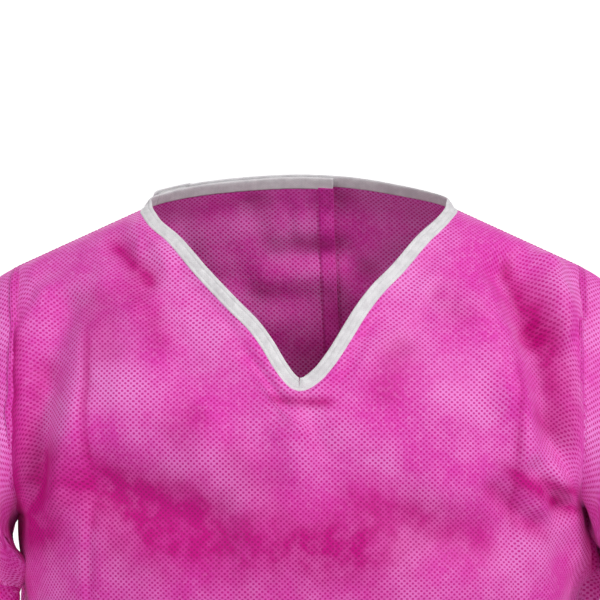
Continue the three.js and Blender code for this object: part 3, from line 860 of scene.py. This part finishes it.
def drape():
    """Returns how far the fall moves each point of the coarse grids."""
    us, vs, front, back, turn, share, sleeves = sim_grids()
    grids = [front, back, sleeves[1], sleeves[-1]]
    vertices, faces = grid_faces(grids)
    kept, joined, new_index = weld(vertices, faces)
    scene = bpy.context.scene
    mesh = bpy.data.meshes.new("drape")
    mesh.from_pydata([tuple(p) for p in kept], [], joined)
    cloth = bpy.data.objects.new("drape", mesh)
    scene.collection.objects.link(cloth)
    body_mesh = bpy.data.meshes.new("hidden_body")
    body_vertices, body_faces = grid_faces(body_collider())
    body_mesh.from_pydata([tuple(p) for p in body_vertices], [], body_faces)
    body = bpy.data.objects.new("hidden_body", body_mesh)
    scene.collection.objects.link(body)
    body.modifiers.new("Collision", "COLLISION")
    body.collision.thickness_outer = 3 * MM
    body.collision.cloth_friction = 8
    pins = cloth.vertex_groups.new(name="pins")
    hold = pin_weights(kept)
    for i, weight in enumerate(hold):
        if weight > 0.001:
            pins.add([i], float(weight), "REPLACE")
    modifier = cloth.modifiers.new("Cloth", "CLOTH")
    settings = modifier.settings
    settings.quality = 7
    settings.mass = 0.12
    settings.tension_stiffness = 22
    settings.compression_stiffness = 22
    settings.shear_stiffness = 9
    settings.bending_stiffness = 1.2
    settings.air_damping = 3
    settings.shrink_min = -SIM_FULLNESS
    settings.vertex_group_mass = "pins"
    settings.pin_stiffness = 4
    modifier.collision_settings.distance_min = 3 * MM
    modifier.collision_settings.use_self_collision = False
    modifier.point_cache.frame_start = 1
    modifier.point_cache.frame_end = SIM_FRAMES
    for frame_number in range(1, SIM_FRAMES + 1):
        scene.frame_set(frame_number)
    evaluated = cloth.evaluated_get(bpy.context.evaluated_depsgraph_get())
    fallen = np.empty(len(kept) * 3)
    evaluated.data.vertices.foreach_get("co", fallen)
    change = fallen.reshape(-1, 3) - kept
    scene.frame_set(1)
    for thing in (cloth, body):
        data = thing.data
        bpy.data.objects.remove(thing)
        bpy.data.meshes.remove(data)
    size = np.linalg.norm(change, axis=1, keepdims=True)
    most = 30 * MM
    change = change * (most * np.tanh(size / most) / np.maximum(size, 1e-9))
    parts = []
    start = 0
    for grid in grids:
        count = grid.shape[0] * grid.shape[1]
        parts.append(change[new_index[start:start + count]].reshape(grid.shape))
        start += count
    return us, vs, turn, share, parts


def pin_weights(points):
    """Full hold at the neck and along the shoulders, fading out over the chest and the shoulder blades."""
    x, z = points[:, 0], points[:, 2]
    front = points[:, 1] < 0
    neck = np.where(front, front_neck_z(x), back_neck_z(x))
    top = np.where(np.abs(x) < NECK_HALF, neck, ridge_z(x))
    below = top - z
    hold = 1 - smooth(0.010, 0.075, below)
    return np.where(np.abs(x) > CHEST_HALF + 5 * MM, 0, hold)


# ---- fine panels ----

US = columns(54, 46)
VS = rows(90, 108)


def fine_panel(side, us_coarse, vs_coarse, change):
    u, v = US[None, :], VS[:, None]
    points = panel_points(side, u, v)
    flat = flat_positions(side, points[..., 0], points[..., 2])
    x, z = points[..., 0], points[..., 2]
    to_side = np.abs(column_x(2.0, v)) - np.abs(x)
    reach = 34 * MM * np.linspace(-1, 1, 9)
    soft_y = np.mean([surface_y(side, x, z + step) for step in reach], axis=0)
    near_underarm = smooth(0, 15 * MM, to_side) * smooth(110 * MM, 40 * MM, np.abs(z - UNDERARM_Z))
    points[..., 1] += (soft_y - points[..., 1]) * near_underarm
    outward = np.stack([x * 0.3, np.full_like(x, side), np.full_like(x, 0.15)], -1)
    panel = Panel(US, VS, points, outward, flat)
    height = fold_height(FRONT_FOLDS if side < 0 else BACK_FOLDS, x, z) + drape_height(side, x, z)
    calm = smooth(0, 16 * MM, to_side) * smooth(0, 0.05, v)
    moved = panel.normals * (height * calm)[..., None]
    taut = (np.clip(0.22 + 0.78 * smooth(-0.20, -0.46, z), 0, 1) if side < 0
            else 1 - 0.4 * smooth(-0.3, -0.1, z))
    moved = moved + resample(change, us_coarse, vs_coarse, US, VS) * taut[..., None]
    return panel.moved(moved)


coarse_us, coarse_vs, coarse_turn, coarse_share, changes = drape()
front_panel = fine_panel(-1, coarse_us, coarse_vs, changes[0])
back_panel = fine_panel(1, coarse_us, coarse_vs, changes[1])
for edge in (0, -1):  # the side seam and the shoulder ridge are shared by front and back
    seam = (front_panel.points[:, edge] + back_panel.points[:, edge]) / 2
    below_arm = VS > 1
    front_panel.points[below_arm, edge] = seam[below_arm]
    back_panel.points[below_arm, edge] = seam[below_arm]
on_ridge = np.abs(US) >= 1
ridge = (front_panel.points[0] + back_panel.points[0]) / 2
front_panel.points[0, on_ridge] = ridge[on_ridge]
back_panel.points[0, on_ridge] = ridge[on_ridge]

CLOTH_THICK = 0.7 * MM


def cut_at(panel, low_x, high_x, lift):
    """The part of a panel between two values of x (None is the panel's own edge), raised by lift(x)."""
    us = np.linspace(0, 1, 151)
    spread = us ** 1.5 if low_x is None else 1 - (1 - us) ** 1.5
    base_x = column_x(panel.us[None, :], panel.vs[:, None])
    points, normals, flat = [], [], []
    for j, row_x in enumerate(base_x):
        low = row_x[0] if low_x is None else low_x
        high = row_x[-1] if high_x is None else high_x
        target = low + (high - low) * spread
        for store, values in ((points, panel.points), (normals, panel.normals), (flat, panel.flat)):
            taken = [np.interp(target, row_x, values[j, :, k]) for k in range(values.shape[-1])]
            store.append(np.stack(taken, -1))
        points[-1] += normals[-1] * lift(target)[:, None]
    return Panel(us, panel.vs, np.array(points), np.array(normals), np.array(flat))


def outer_lift(x):
    return (FLAP_LIFT - 1.0 * MM) * (1 - smooth(LIFT_TO, LIFT_FROM, x))


def inner_dip(x):
    return -0.6 * MM * (1 - smooth(LIFT_TO, LIFT_FROM, -x))


back_left = cut_at(back_panel, OUTER_EDGE_X, None, outer_lift)
back_right = cut_at(back_panel, None, INNER_EDGE_X, inner_dip)


def finish_piece(piece, nodes):
    if nodes:
        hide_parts(*nodes)
    return piece


def ride(piece, body, *nodes, slot="gown_cloth"):
    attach(piece, body)
    return finish_piece(piece, nodes)


def bend_flap(piece, name, *nodes, slot="gown_cloth"):
    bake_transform(piece)
    return finish_piece(piece, nodes)


def bend_sleeve(piece, name, *nodes, slot="gown_cloth"):
    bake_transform(piece)
    return finish_piece(piece, nodes)


HANDS = {"left": 1, "right": -1}

# ---- sleeves ----

SLEEVE_SHARE = np.linspace(0, 1, 96)


def sleeve_panel(hand, change):
    upper = VS[VS <= 1]
    ring, turn = ring_stations(upper)
    points = sleeve_points(hand, ring, turn, SLEEVE_SHARE)
    loose = smooth(0.05, 0.75, SLEEVE_SHARE)[:, None, None]
    points = points + resample(change, coarse_turn, coarse_share, turn, SLEEVE_SHARE) * loose
    edge = -1 if hand > 0 else 0
    front_edge = front_panel.points[: len(upper), edge][::-1]
    back_edge = back_panel.points[: len(upper), edge]
    seam = np.concatenate([front_edge, back_edge[1:]])
    points = points + (seam - points[0])[None] * (1 - smooth(0, 0.2, SLEEVE_SHARE))[:, None, None]
    closing = (points[:, 0] + points[:, -1]) / 2
    points[:, 0] = points[:, -1] = closing
    outward = points - points[:, :-1].mean(1, keepdims=True)
    around = np.linalg.norm(np.diff(points, axis=1), axis=-1)
    around = np.concatenate([np.zeros((len(points), 1)), np.cumsum(around, 1)], 1)
    around -= around[:, [len(turn) // 2]]
    down = np.linalg.norm(np.diff(points, axis=0), axis=-1)
    down = np.concatenate([np.zeros((1, len(turn))), np.cumsum(down, 0)])
    made = Panel(turn, SLEEVE_SHARE, points, outward, np.stack([around, down], -1))
    share = SLEEVE_SHARE[:, None]
    angle = turn[None, :] * 2 * math.pi
    wave = np.sin(angle * 5 + 1.3 + share * 2.2 * hand) + 0.6 * np.sin(angle * 9 + 0.4 - share * 3)
    pull = (np.sin(angle * 14 + 0.5 + share * 4)
            * np.exp(-((turn[None, :] - np.round(turn[None, :])) / 0.12) ** 2))
    calm = smooth(0, 0.22, share) * (0.35 + 0.65 * share)
    gather = smooth(0.02, 0.12, share) * (1 - smooth(0.35, 0.8, share))
    both_ends = smooth(0, 0.02, turn)[None, :] * smooth(0, 0.02, 1 - turn)[None, :]
    height = (wave * calm * 2.6 + pull * gather * 2.2) * both_ends * MM
    return made.moved(made.normals * height[..., None])


sleeves = {name: sleeve_panel(hand, changes[2 if hand > 0 else 3]) for name, hand in HANDS.items()}

# ---- bands along the edges of a panel ----


def edge_band(name, panel, edge, section, material, stations=None, pucker=None):
    """A band that follows a panel's edge. section lists (across, out) in millimetres round its outline,
    across counted from the edge into the cloth along the grid."""
    turned = {"top": (lambda a: a.transpose(1, 0, 2)), "bottom": (lambda a: a[::-1].transpose(1, 0, 2)),
              "first": (lambda a: a), "last": (lambda a: a[:, ::-1])}[edge]
    points, normals = turned(panel.points), turned(panel.normals)
    if stations is not None:
        points, normals = points[stations], normals[stations]
    reach = min(points.shape[1], 70)
    across = np.array([p[0] for p in section]) * MM
    out = np.array([p[1] for p in section]) * MM
    length = along_line(points[:, 0])
    rings = np.empty((len(points), len(section), 3))
    for i in range(len(points)):
        depth = along_line(points[i, :reach])
        inward = (points[i, 1] - points[i, 0]) / max(depth[1], 1e-9)
        for k in range(3):
            rings[i, :, k] = (np.interp(across, depth, points[i, :reach, k])
                              + np.minimum(across, 0) * inward[k])
        way_out = np.stack([np.interp(across, depth, normals[i, :reach, k]) for k in range(3)], -1)
        lift = out if pucker is None else out + pucker(length[i], across / MM) * MM
        rings[i] += way_out * lift[:, None]
    return sweep(name, rings, length, material)


def hem_section(width, outer=0.47, inner=1.15):
    """A folded hem: nearly flush outside, a step inside, and rounded at the fold."""
    steps = [width * i / 6 for i in range(7)]
    top = [(a, outer + 0.06 * math.sin(math.pi * a / width)) for a in steps]
    under = [(a, -inner) for a in reversed(steps)]
    return [(-0.35, 0.1), *top, (width + 0.15, 0.15), (width + 0.15, -inner * 0.6), *under,
            (-0.35, -inner * 0.7)]


def hem_pucker(length, across):
    at = np.asarray(across)
    return (0.16 * math.sin(length * 330) * np.sin(at * 0.35)
            + 0.1 * math.sin(length * 910 + 1.0) * np.sin(at * 0.5 + 1))


def edge_line(panel, edge, across, spacing=2.0 * MM, stations=None, out=0.0):
    """A line on the cloth at a steady distance from one edge."""
    turned = {"top": (lambda a: a.transpose(1, 0, 2)), "bottom": (lambda a: a[::-1].transpose(1, 0, 2)),
              "first": (lambda a: a), "last": (lambda a: a[:, ::-1])}[edge]
    points, normals = turned(panel.points), turned(panel.normals)
    if stations is not None:
        points, normals = points[stations], normals[stations]
    path, ways = [], []
    for row, way in zip(points, normals):
        depth = along_line(row[:70])
        path.append([np.interp(across * MM, depth, row[:70, k]) for k in range(3)])
        ways.append([np.interp(across * MM, depth, way[:70, k]) for k in range(3)])
    path, ways = np.array(path), np.array(ways)
    return Line(path + ways * out * MM, ways, spacing, (0, 0, 1))


# ---- panels ----

rest_front = panel_points(-1, US[None, :], VS[:, None])
# How much painted shade each point of the front cloth takes.
front_painted_shade = painted_shade_at(FRONT_SHADE_PATCHES, rest_front[..., 0], rest_front[..., 2])
front = cloth_mesh("gown_front", front_panel.points, front_panel.normals, front_panel.flat, CLOTH,
                   CLOTH_THICK, front_painted_shade)
ride(front, "gown", "front_panel")
back_cloth = {}
for name, panel in (("left", back_left), ("right", back_right)):
    # How much painted shade each point of the back cloth takes.
    depth = painted_shade_at(BACK_SHADE_PATCHES, panel.points[..., 0], panel.points[..., 2])
    piece = cloth_mesh(f"back_{name}", panel.points, panel.normals, panel.flat, CLOTH, CLOTH_THICK, depth)
    back_cloth[name] = bend_flap(piece, name, f"back_side_{name}", f"back_flap_{name}")
sleeve_cloth = {}
for name, panel in sleeves.items():
    piece = cloth_mesh(f"sleeve_{name}", panel.points, panel.normals, panel.flat, CLOTH, CLOTH_THICK)
    sleeve_cloth[name] = bend_sleeve(piece, name, f"sleeve_panel_{name}")

# ---- hems and their stitches ----

HEM_WIDTH = 20
EDGE_HEM_WIDTH = 11.7
HEM_STITCH = 17.5
EDGE_STITCH = 9.8
ABOVE_CLOTH = 0.5

piece = edge_band("front_bottom_hem", front_panel, "bottom",
                  hem_section(HEM_WIDTH), HEM_CLOTH, None, hem_pucker)
front_pieces = [ride(piece, "gown", "front_hem", slot="stitched_cloth")]
line = edge_line(front_panel, "bottom", HEM_STITCH, out=ABOVE_CLOTH)
front_pieces.append(ride(stitch_row("front_hem_stitches", line, 0, 0.08, PINK_THREAD), "gown",
                         slot="stitched_cloth"))

back_pieces = {"left": [], "right": []}
for name, panel in (("left", back_left), ("right", back_right)):
    free = "first" if name == "left" else "last"
    piece = edge_band(f"back_{name}_bottom_hem", panel, "bottom",
                      hem_section(HEM_WIDTH), HEM_CLOTH, None, hem_pucker)
    back_pieces[name].append(bend_flap(piece, name, f"back_side_hem_{name}", f"flap_hem_{name}",
                                       slot="stitched_cloth"))
    line = edge_line(panel, "bottom", HEM_STITCH, out=ABOVE_CLOTH)
    piece = stitch_row(f"back_{name}_hem_stitches", line, 0, 0.08, PINK_THREAD)
    back_pieces[name].append(bend_flap(piece, name, slot="stitched_cloth"))
    section = hem_section(EDGE_HEM_WIDTH, 0.62, 1.3)
    piece = edge_band(f"flap_{name}_edge_hem", panel, free, section, HEM_CLOTH, None, hem_pucker)
    back_pieces[name].append(bend_flap(piece, name, f"flap_edge_hem_{name}", slot="stitched_cloth"))
    line = edge_line(panel, free, EDGE_STITCH, out=ABOVE_CLOTH + 0.15)
    piece = stitch_row(f"flap_{name}_edge_stitches", line, 0, 0.08, PINK_THREAD)
    back_pieces[name].append(bend_flap(piece, name, slot="stitched_cloth"))

sleeve_pieces = {"left": [], "right": []}
for name, panel in sleeves.items():
    piece = edge_band(f"sleeve_{name}_hem", panel, "bottom",
                      hem_section(HEM_WIDTH), HEM_CLOTH, None, hem_pucker)
    sleeve_pieces[name].append(bend_sleeve(piece, name, f"sleeve_hem_{name}", slot="stitched_cloth"))
    line = edge_line(panel, "bottom", HEM_STITCH, out=ABOVE_CLOTH)
    piece = stitch_row(f"sleeve_{name}_hem_stitches", line, 0, 0.08, PINK_THREAD)
    sleeve_pieces[name].append(bend_sleeve(piece, name, slot="stitched_cloth"))

# ---- seams ----

SEAM_SECTION = [(-3.4, 0.0), (-3.2, 0.32), (-1.6, 0.5), (-0.35, 0.42), (0.0, 0.26), (0.35, 0.42), (1.6, 0.5),
                (3.2, 0.32),
                (3.4, 0.0), (3.2, -0.6), (1.6, -1.0), (0.0, -1.2), (-1.6, -1.0), (-3.2, -0.6)]


def seam_pucker(length, across):
    return (0.16 * np.sin(np.asarray(length) * 760 + across)
            + 0.12 * np.sin(np.asarray(length) * 1330 + 2)) * MM


def sewn_seam(name, line, ride_on, nodes=()):
    """A ridge of lapped cloth with a row of stitches on each side of the join."""
    made = [ride_on(strip(name, line, SEAM_SECTION, HEM_CLOTH, seam_pucker), *nodes)]
    for across, side in ((-1.9, "a"), (1.9, "b")):
        made.append(ride_on(stitch_row(f"{name}_stitches_{side}", line, across, 0.55, PINK_THREAD)))
    return made


def on_gown(piece, *nodes):
    return ride(piece, "gown", *nodes, slot="stitched_cloth")


upper_rows = VS <= 1
lower_rows = VS >= 1
seam_pieces = []
for name, hand in HANDS.items():
    edge = -1 if hand > 0 else 0
    side_points = front_panel.points[lower_rows, edge]
    side_out = (front_panel.normals[lower_rows, edge] + back_panel.normals[lower_rows, edge]
                + np.array([hand * 0.8, 0, 0]))
    line = Line(side_points, side_out, 3 * MM, (0, 1, 0), steady=6)
    seam_pieces += sewn_seam(f"sewn_side_{name}", line, on_gown, (f"side_seam_{name}",))
    on_shoulder = (US * hand) >= 1
    ridge_points = front_panel.points[0, on_shoulder]
    ridge_out = (front_panel.normals[1, on_shoulder] + back_panel.normals[1, on_shoulder]
                 + np.array([0, 0, 1.2]))
    line = Line(ridge_points, ridge_out, 2.5 * MM, (0, 1, 0), steady=6)
    seam_pieces += sewn_seam(f"sewn_shoulder_{name}", line, on_gown, (f"shoulder_seam_{name}",))
    sleeve = sleeves[name]
    body_out = np.concatenate([front_panel.normals[upper_rows, edge][::-1],
                               back_panel.normals[upper_rows, edge][1:]])
    ring_out = sleeve.normals[1] + 0.5 * body_out
    line = Line(sleeve.points[0], ring_out, 2.2 * MM, (hand, 0, -0.2), closed=True, steady=8)
    seam_pieces += sewn_seam(f"sewn_armhole_{name}", line, on_gown, (f"armhole_seam_{name}",))
    line = Line(sleeve.points[:, 0], sleeve.normals[:, 0] + sleeve.normals[:, -1], 2.5 * MM, (0, 1, 0),
                steady=4)
    for piece in sewn_seam(f"sewn_underarm_{name}", line,
                           lambda p, *n: bend_sleeve(p, name, slot="stitched_cloth")):
        sleeve_pieces[name].append(piece)

# ---- neck binding ----

FRONT_CORNER_REACH = 112 * MM  # how far towards the middle of the back the front binding goes
BINDING_SECTION = [(-1.4, 0.15), (-1.3, 0.72), (-0.4, 0.90), (0.6, 0.78), (1.3, 0.52), (1.9, 0.72),
                   (3.0, 1.05),
                   (4.6, 1.12), (5.5, 0.90), (5.95, 0.42), (6.4, 0.86), (7.4, 0.98), (8.4, 0.78), (9.0, 0.40),
                   (9.15, 0.0), (8.9, -0.40), (7.6, -0.72), (4.5, -0.82), (1.3, -0.55),
                   (-0.4, -0.78), (-1.3, -0.62)]
BINDING_STITCH_ACROSS = 1.3


def towards_neck(points):
    return np.array([0, 0, 0.2]) - points


def binding_pucker(length, across):
    at = np.asarray(length)
    crown = math.sin(math.pi * min(max((across - 1.3) / 7.7, 0), 1))
    gather = (0.20 * np.sin(at * 1150 + 0.4) + 0.24 * np.sin(at * 640 + across * 0.5)
              + 0.2 * np.sin(at * 310 - across * 0.4))
    return gather * (0.25 + 0.75 * crown) * MM


def blurred(values, passes):
    for _ in range(passes):
        padded = np.concatenate([values[:1], values, values[-1:]])
        values = (padded[:-2] + padded[1:-1] * 2 + padded[2:]) / 4
    return values


class BindingLine(Line):
    """A line along the neck edge, rounded and steadied at the two shoulder corners."""

    def __init__(self, points, normals, spacing=1.6 * MM):
        super().__init__(points, normals, spacing, towards_neck, steady=3)
        near_corner = smooth(0.098, 0.114, np.abs(self.points[:, 0]))[:, None]
        self.points = self.points + (blurred(self.points, 6) - self.points) * near_corner
        across = self.across + (blurred(self.across, 50) - self.across) * near_corner
        out = self.out + (blurred(self.out, 50) - self.out) * near_corner
        self.across = across / np.linalg.norm(across, axis=1, keepdims=True)
        out = out - self.across * (out * self.across).sum(1, keepdims=True)
        self.out = out / np.linalg.norm(out, axis=1, keepdims=True)


def bound_edge(name, line, pucker=binding_pucker):
    """The folded tape along the line. At the tip of the V its two legs meet in a mitre on the centre line."""
    rings = []
    for across, out in BINDING_SECTION:
        lift = pucker(line.length, across) * (1 if out > 0 else -0.3)
        points = line.offset(across * MM, out * MM + lift)
        crossed = (np.sign(points[:, 0]) != np.sign(line.points[:, 0])) & (np.abs(line.points[:, 0]) < 0.03)
        crossed &= line.points[:, 1] < 0
        base = line.points[crossed]
        share = base[:, 0] / (base[:, 0] - points[crossed, 0])
        points[crossed] = base + (points[crossed] - base) * share[:, None]
        rings.append(points)
    return sweep(name, np.stack(rings, 1), line.length, WHITE)


def neck_part(panel, keep):
    return panel.points[0, keep], panel.normals[1, keep]


in_neck = np.abs(US) <= 1
behind = {"right": neck_part(back_right, back_right.points[0, :, 0] > -NECK_HALF + MM),
          "left": neck_part(back_left, back_left.points[0, :, 0] < NECK_HALF - MM)}
fore = neck_part(front_panel, in_neck)
path = np.concatenate([behind["right"][0][::-1], fore[0], behind["left"][0][::-1]])
ways = np.concatenate([behind["right"][1][::-1], fore[1], behind["left"][1][::-1]])
neck_line = BindingLine(path, ways)
at_back = neck_line.points[:, 1] > 0
reached = np.abs(neck_line.points[:, 0]) > FRONT_CORNER_REACH
corners = np.flatnonzero(at_back & reached)
tip = np.abs(neck_line.points[:, 2] - neck_line.points[:, 2].min()).argmin()
first_cut, last_cut = corners[corners < tip].min(), corners[corners > tip].max()
parts = {"front": slice(first_cut, last_cut + 1), "right": slice(0, first_cut + 1),
         "left": slice(last_cut, None)}
neck_pieces = {}
for name, span in parts.items():
    line = neck_line.part(span)
    words = ("neck_tape_front", "neck_stitches_front", "neck_binding_front") if name == "front" else (
        f"neck_tape_back_{name}", f"neck_stitches_back_{name}", f"neck_binding_back_{name}")
    tape = bound_edge(words[0], line)
    stitches = stitch_row(words[1], line, BINDING_STITCH_ACROSS, 0.62, WHITE_THREAD, stitch=2.3, gap=0.8)
    if name == "front":
        ride(tape, "gown", words[2], slot="neck_binding")
        ride(stitches, "gown", slot="neck_binding")
    else:
        bend_flap(tape, name, words[2], slot="neck_binding")
        bend_flap(stitches, name, slot="neck_binding")
    neck_pieces[name] = [tape, stitches]

# ---- neck closure: a hook tab on the left flap's free end, a loop patch under it ----

TAB_LOW, TAB_HIGH = -5.0, 9.0
TAB_OUT = 4.2
TAB_CORNER = 3.0
PATCH_OUT = 1.75
right_top_x = -back_right.points[0, :, 0]
under_tab = (right_top_x > 84 * MM) & (right_top_x < 119 * MM)
closure_line = BindingLine(back_right.points[0, under_tab], back_right.normals[1, under_tab], 0.8 * MM)
if closure_line.points[0, 0] < closure_line.points[-1, 0]:  # run from the flap's free end to the blunt end
    closure_line.points, closure_line.out, closure_line.across, closure_line.along = (
        part[::-1].copy()
        for part in (closure_line.points, closure_line.out, closure_line.across, closure_line.along))


def closure_band(name, start, end, low, high, out, thickness, corner, material):
    """A flat piece along the closure line with rounded corners at its far end."""
    length = closure_line.length
    at = np.linspace(start * MM, end * MM, 40)
    place = {}
    for key in ("points", "out", "across"):
        values = getattr(closure_line, key)
        place[key] = np.stack([np.interp(at, length, values[:, k]) for k in range(3)], -1)
    to_end = np.clip(corner - (end - at / MM), 0, corner)
    inset = corner - np.sqrt(corner ** 2 - to_end ** 2)
    rings = []
    for across, lift in flat_section(low, high, thickness, 0.12):
        share = (across - low) / (high - low)
        moved = across + inset * (1 - 2 * share)
        points = place["points"] + place["across"] * (moved * MM)[:, None]
        rings.append(points + place["out"] * (out + lift) * MM)
    return sweep(name, np.stack(rings, 1), at, material)


tab = closure_band("neck_tab_tape", 0.6, 32.6, TAB_LOW, TAB_HIGH, TAB_OUT, 1.5, TAB_CORNER, WHITE)
ride(tab, "neck_tab", "neck_hook_tab", slot="hook_and_loop")
pad = closure_band("neck_tab_hooks", 5.0, 29.0, TAB_LOW + 3, TAB_HIGH - 2, TAB_OUT - 0.95, 0.7,
                   TAB_CORNER, HOOK)
ride(pad, "neck_tab", slot="hook_and_loop")
patch = closure_band("neck_loops", 5.0, 28.0, 1.5, 7.5, PATCH_OUT, 0.9, 1.0, HOOK)
bend_flap(patch, "right", "neck_loop_patch", slot="hook_and_loop")
for name, across in (("low", TAB_LOW + 1.6), ("high", TAB_HIGH - 1.6)):
    stitches = stitch_row(f"neck_tab_stitches_{name}", closure_line, across, TAB_OUT + 0.9, WHITE_THREAD)
    ride(stitches, "neck_tab", slot="hook_and_loop")

# ---- sheets ----


def cut_of(grid):
    """Width, length and area of an undraped grid: the smooth shape, with no folds and no simulation."""
    across = np.linalg.norm(np.diff(grid, axis=1), axis=-1)
    down = np.linalg.norm(np.diff(grid, axis=0), axis=-1)
    sides = np.cross(np.diff(grid[:-1], axis=1), np.diff(grid[:, :-1], axis=0))
    return (across.sum(1).max(), down.sum(0).max()), np.linalg.norm(sides, axis=-1).sum()


def declare(piece, grid):
    flat, area = cut_of(grid)
    flat = tuple(round(float(size), 2) for size in flat)
    area = min(round(float(area), 3), round(flat[0] * flat[1], 3))
    print("SHEET", piece.name, flat, area)


declare(front, rest_front)
rest_back = Panel(US, VS, panel_points(1, US[None, :], VS[:, None]), back_panel.outward, back_panel.flat)
rest_backs = {"left": cut_at(rest_back, OUTER_EDGE_X, None, np.zeros_like),
              "right": cut_at(rest_back, None, INNER_EDGE_X, np.zeros_like)}
for name, hand in HANDS.items():
    rest_sleeve = sleeve_points(hand, *ring_stations(VS[VS <= 1]), SLEEVE_SHARE)
    declare(back_cloth[name], rest_backs[name].points)
    declare(sleeve_cloth[name], rest_sleeve)


# ---- studio ----

floor_mesh = bpy.data.meshes.new("floor")
floor_mesh.from_pydata([(-12, -12, 0), (12, -12, 0), (12, 12, 0), (-12, 12, 0)], [], [(0, 1, 2, 3)])
floor_mesh.materials.append(pale_floor("pale_floor"))
floor = bpy.data.objects.new("floor", floor_mesh)
floor.location = (0, 0, -1.32)
bpy.context.scene.collection.objects.link(floor)


backdrop_mesh = bpy.data.meshes.new("backdrop")
backdrop_mesh.from_pydata([(-9, 7, -1.32), (9, 7, -1.32), (9, 7, 8), (-9, 7, 8)], [], [(0, 1, 2, 3)])
backdrop_material = bpy.data.materials.new("white_backdrop")
backdrop_material.use_nodes = True
shader = backdrop_material.node_tree.nodes["Principled BSDF"]
shader.inputs["Base Color"].default_value = (0.9, 0.9, 0.9, 1.0)
shader.inputs["Emission Color"].default_value = (1.0, 1.0, 1.0, 1.0)
shader.inputs["Emission Strength"].default_value = 0.75
backdrop_mesh.materials.append(backdrop_material)
backdrop = bpy.data.objects.new("backdrop", backdrop_mesh)
bpy.context.scene.collection.objects.link(backdrop)


def area_light(name, place, target, size, power):
    data = bpy.data.lights.new(name, "AREA")
    data.shape = "RECTANGLE"
    data.size, data.size_y = size
    data.energy = power
    light = bpy.data.objects.new(name, data)
    light.location = place
    light.rotation_euler = (Vector(target) - Vector(place)).to_track_quat("-Z", "Y").to_euler()
    bpy.context.scene.collection.objects.link(light)


area_light("key", (1.9, -1.9, 1.7), (0.0, 0, -0.2), (1.1, 1.1), 60)
area_light("fill", (-2.0, -2.2, 0.8), (0, 0, -0.3), (1.8, 1.8), 25)
area_light("back", (-0.8, 2.4, 1.6), (0, 0, -0.3), (1.8, 1.8), 14)

world = bpy.data.worlds.new("studio")
world.use_nodes = True
world.node_tree.nodes["Background"].inputs["Color"].default_value = (1.0, 1.0, 1.0, 1.0)
world.node_tree.nodes["Background"].inputs["Strength"].default_value = 0.28
bpy.context.scene.world = world
bpy.context.scene.view_settings.view_transform = "Standard"

CAMERA_DISTANCE = 2.0
VIEW_WIDTH = 0.4632  # width seen at the shoulders
camera_data = bpy.data.cameras.new("camera")
camera_data.sensor_width = 36
camera_data.lens = 36 * CAMERA_DISTANCE / VIEW_WIDTH
camera_data.clip_end = 60
camera = bpy.data.objects.new("camera", camera_data)
camera.location = (0.0008, -CAMERA_DISTANCE, -0.071)
camera.rotation_euler = (math.radians(90), 0, 0)
bpy.context.scene.collection.objects.link(camera)
bpy.context.scene.camera = camera
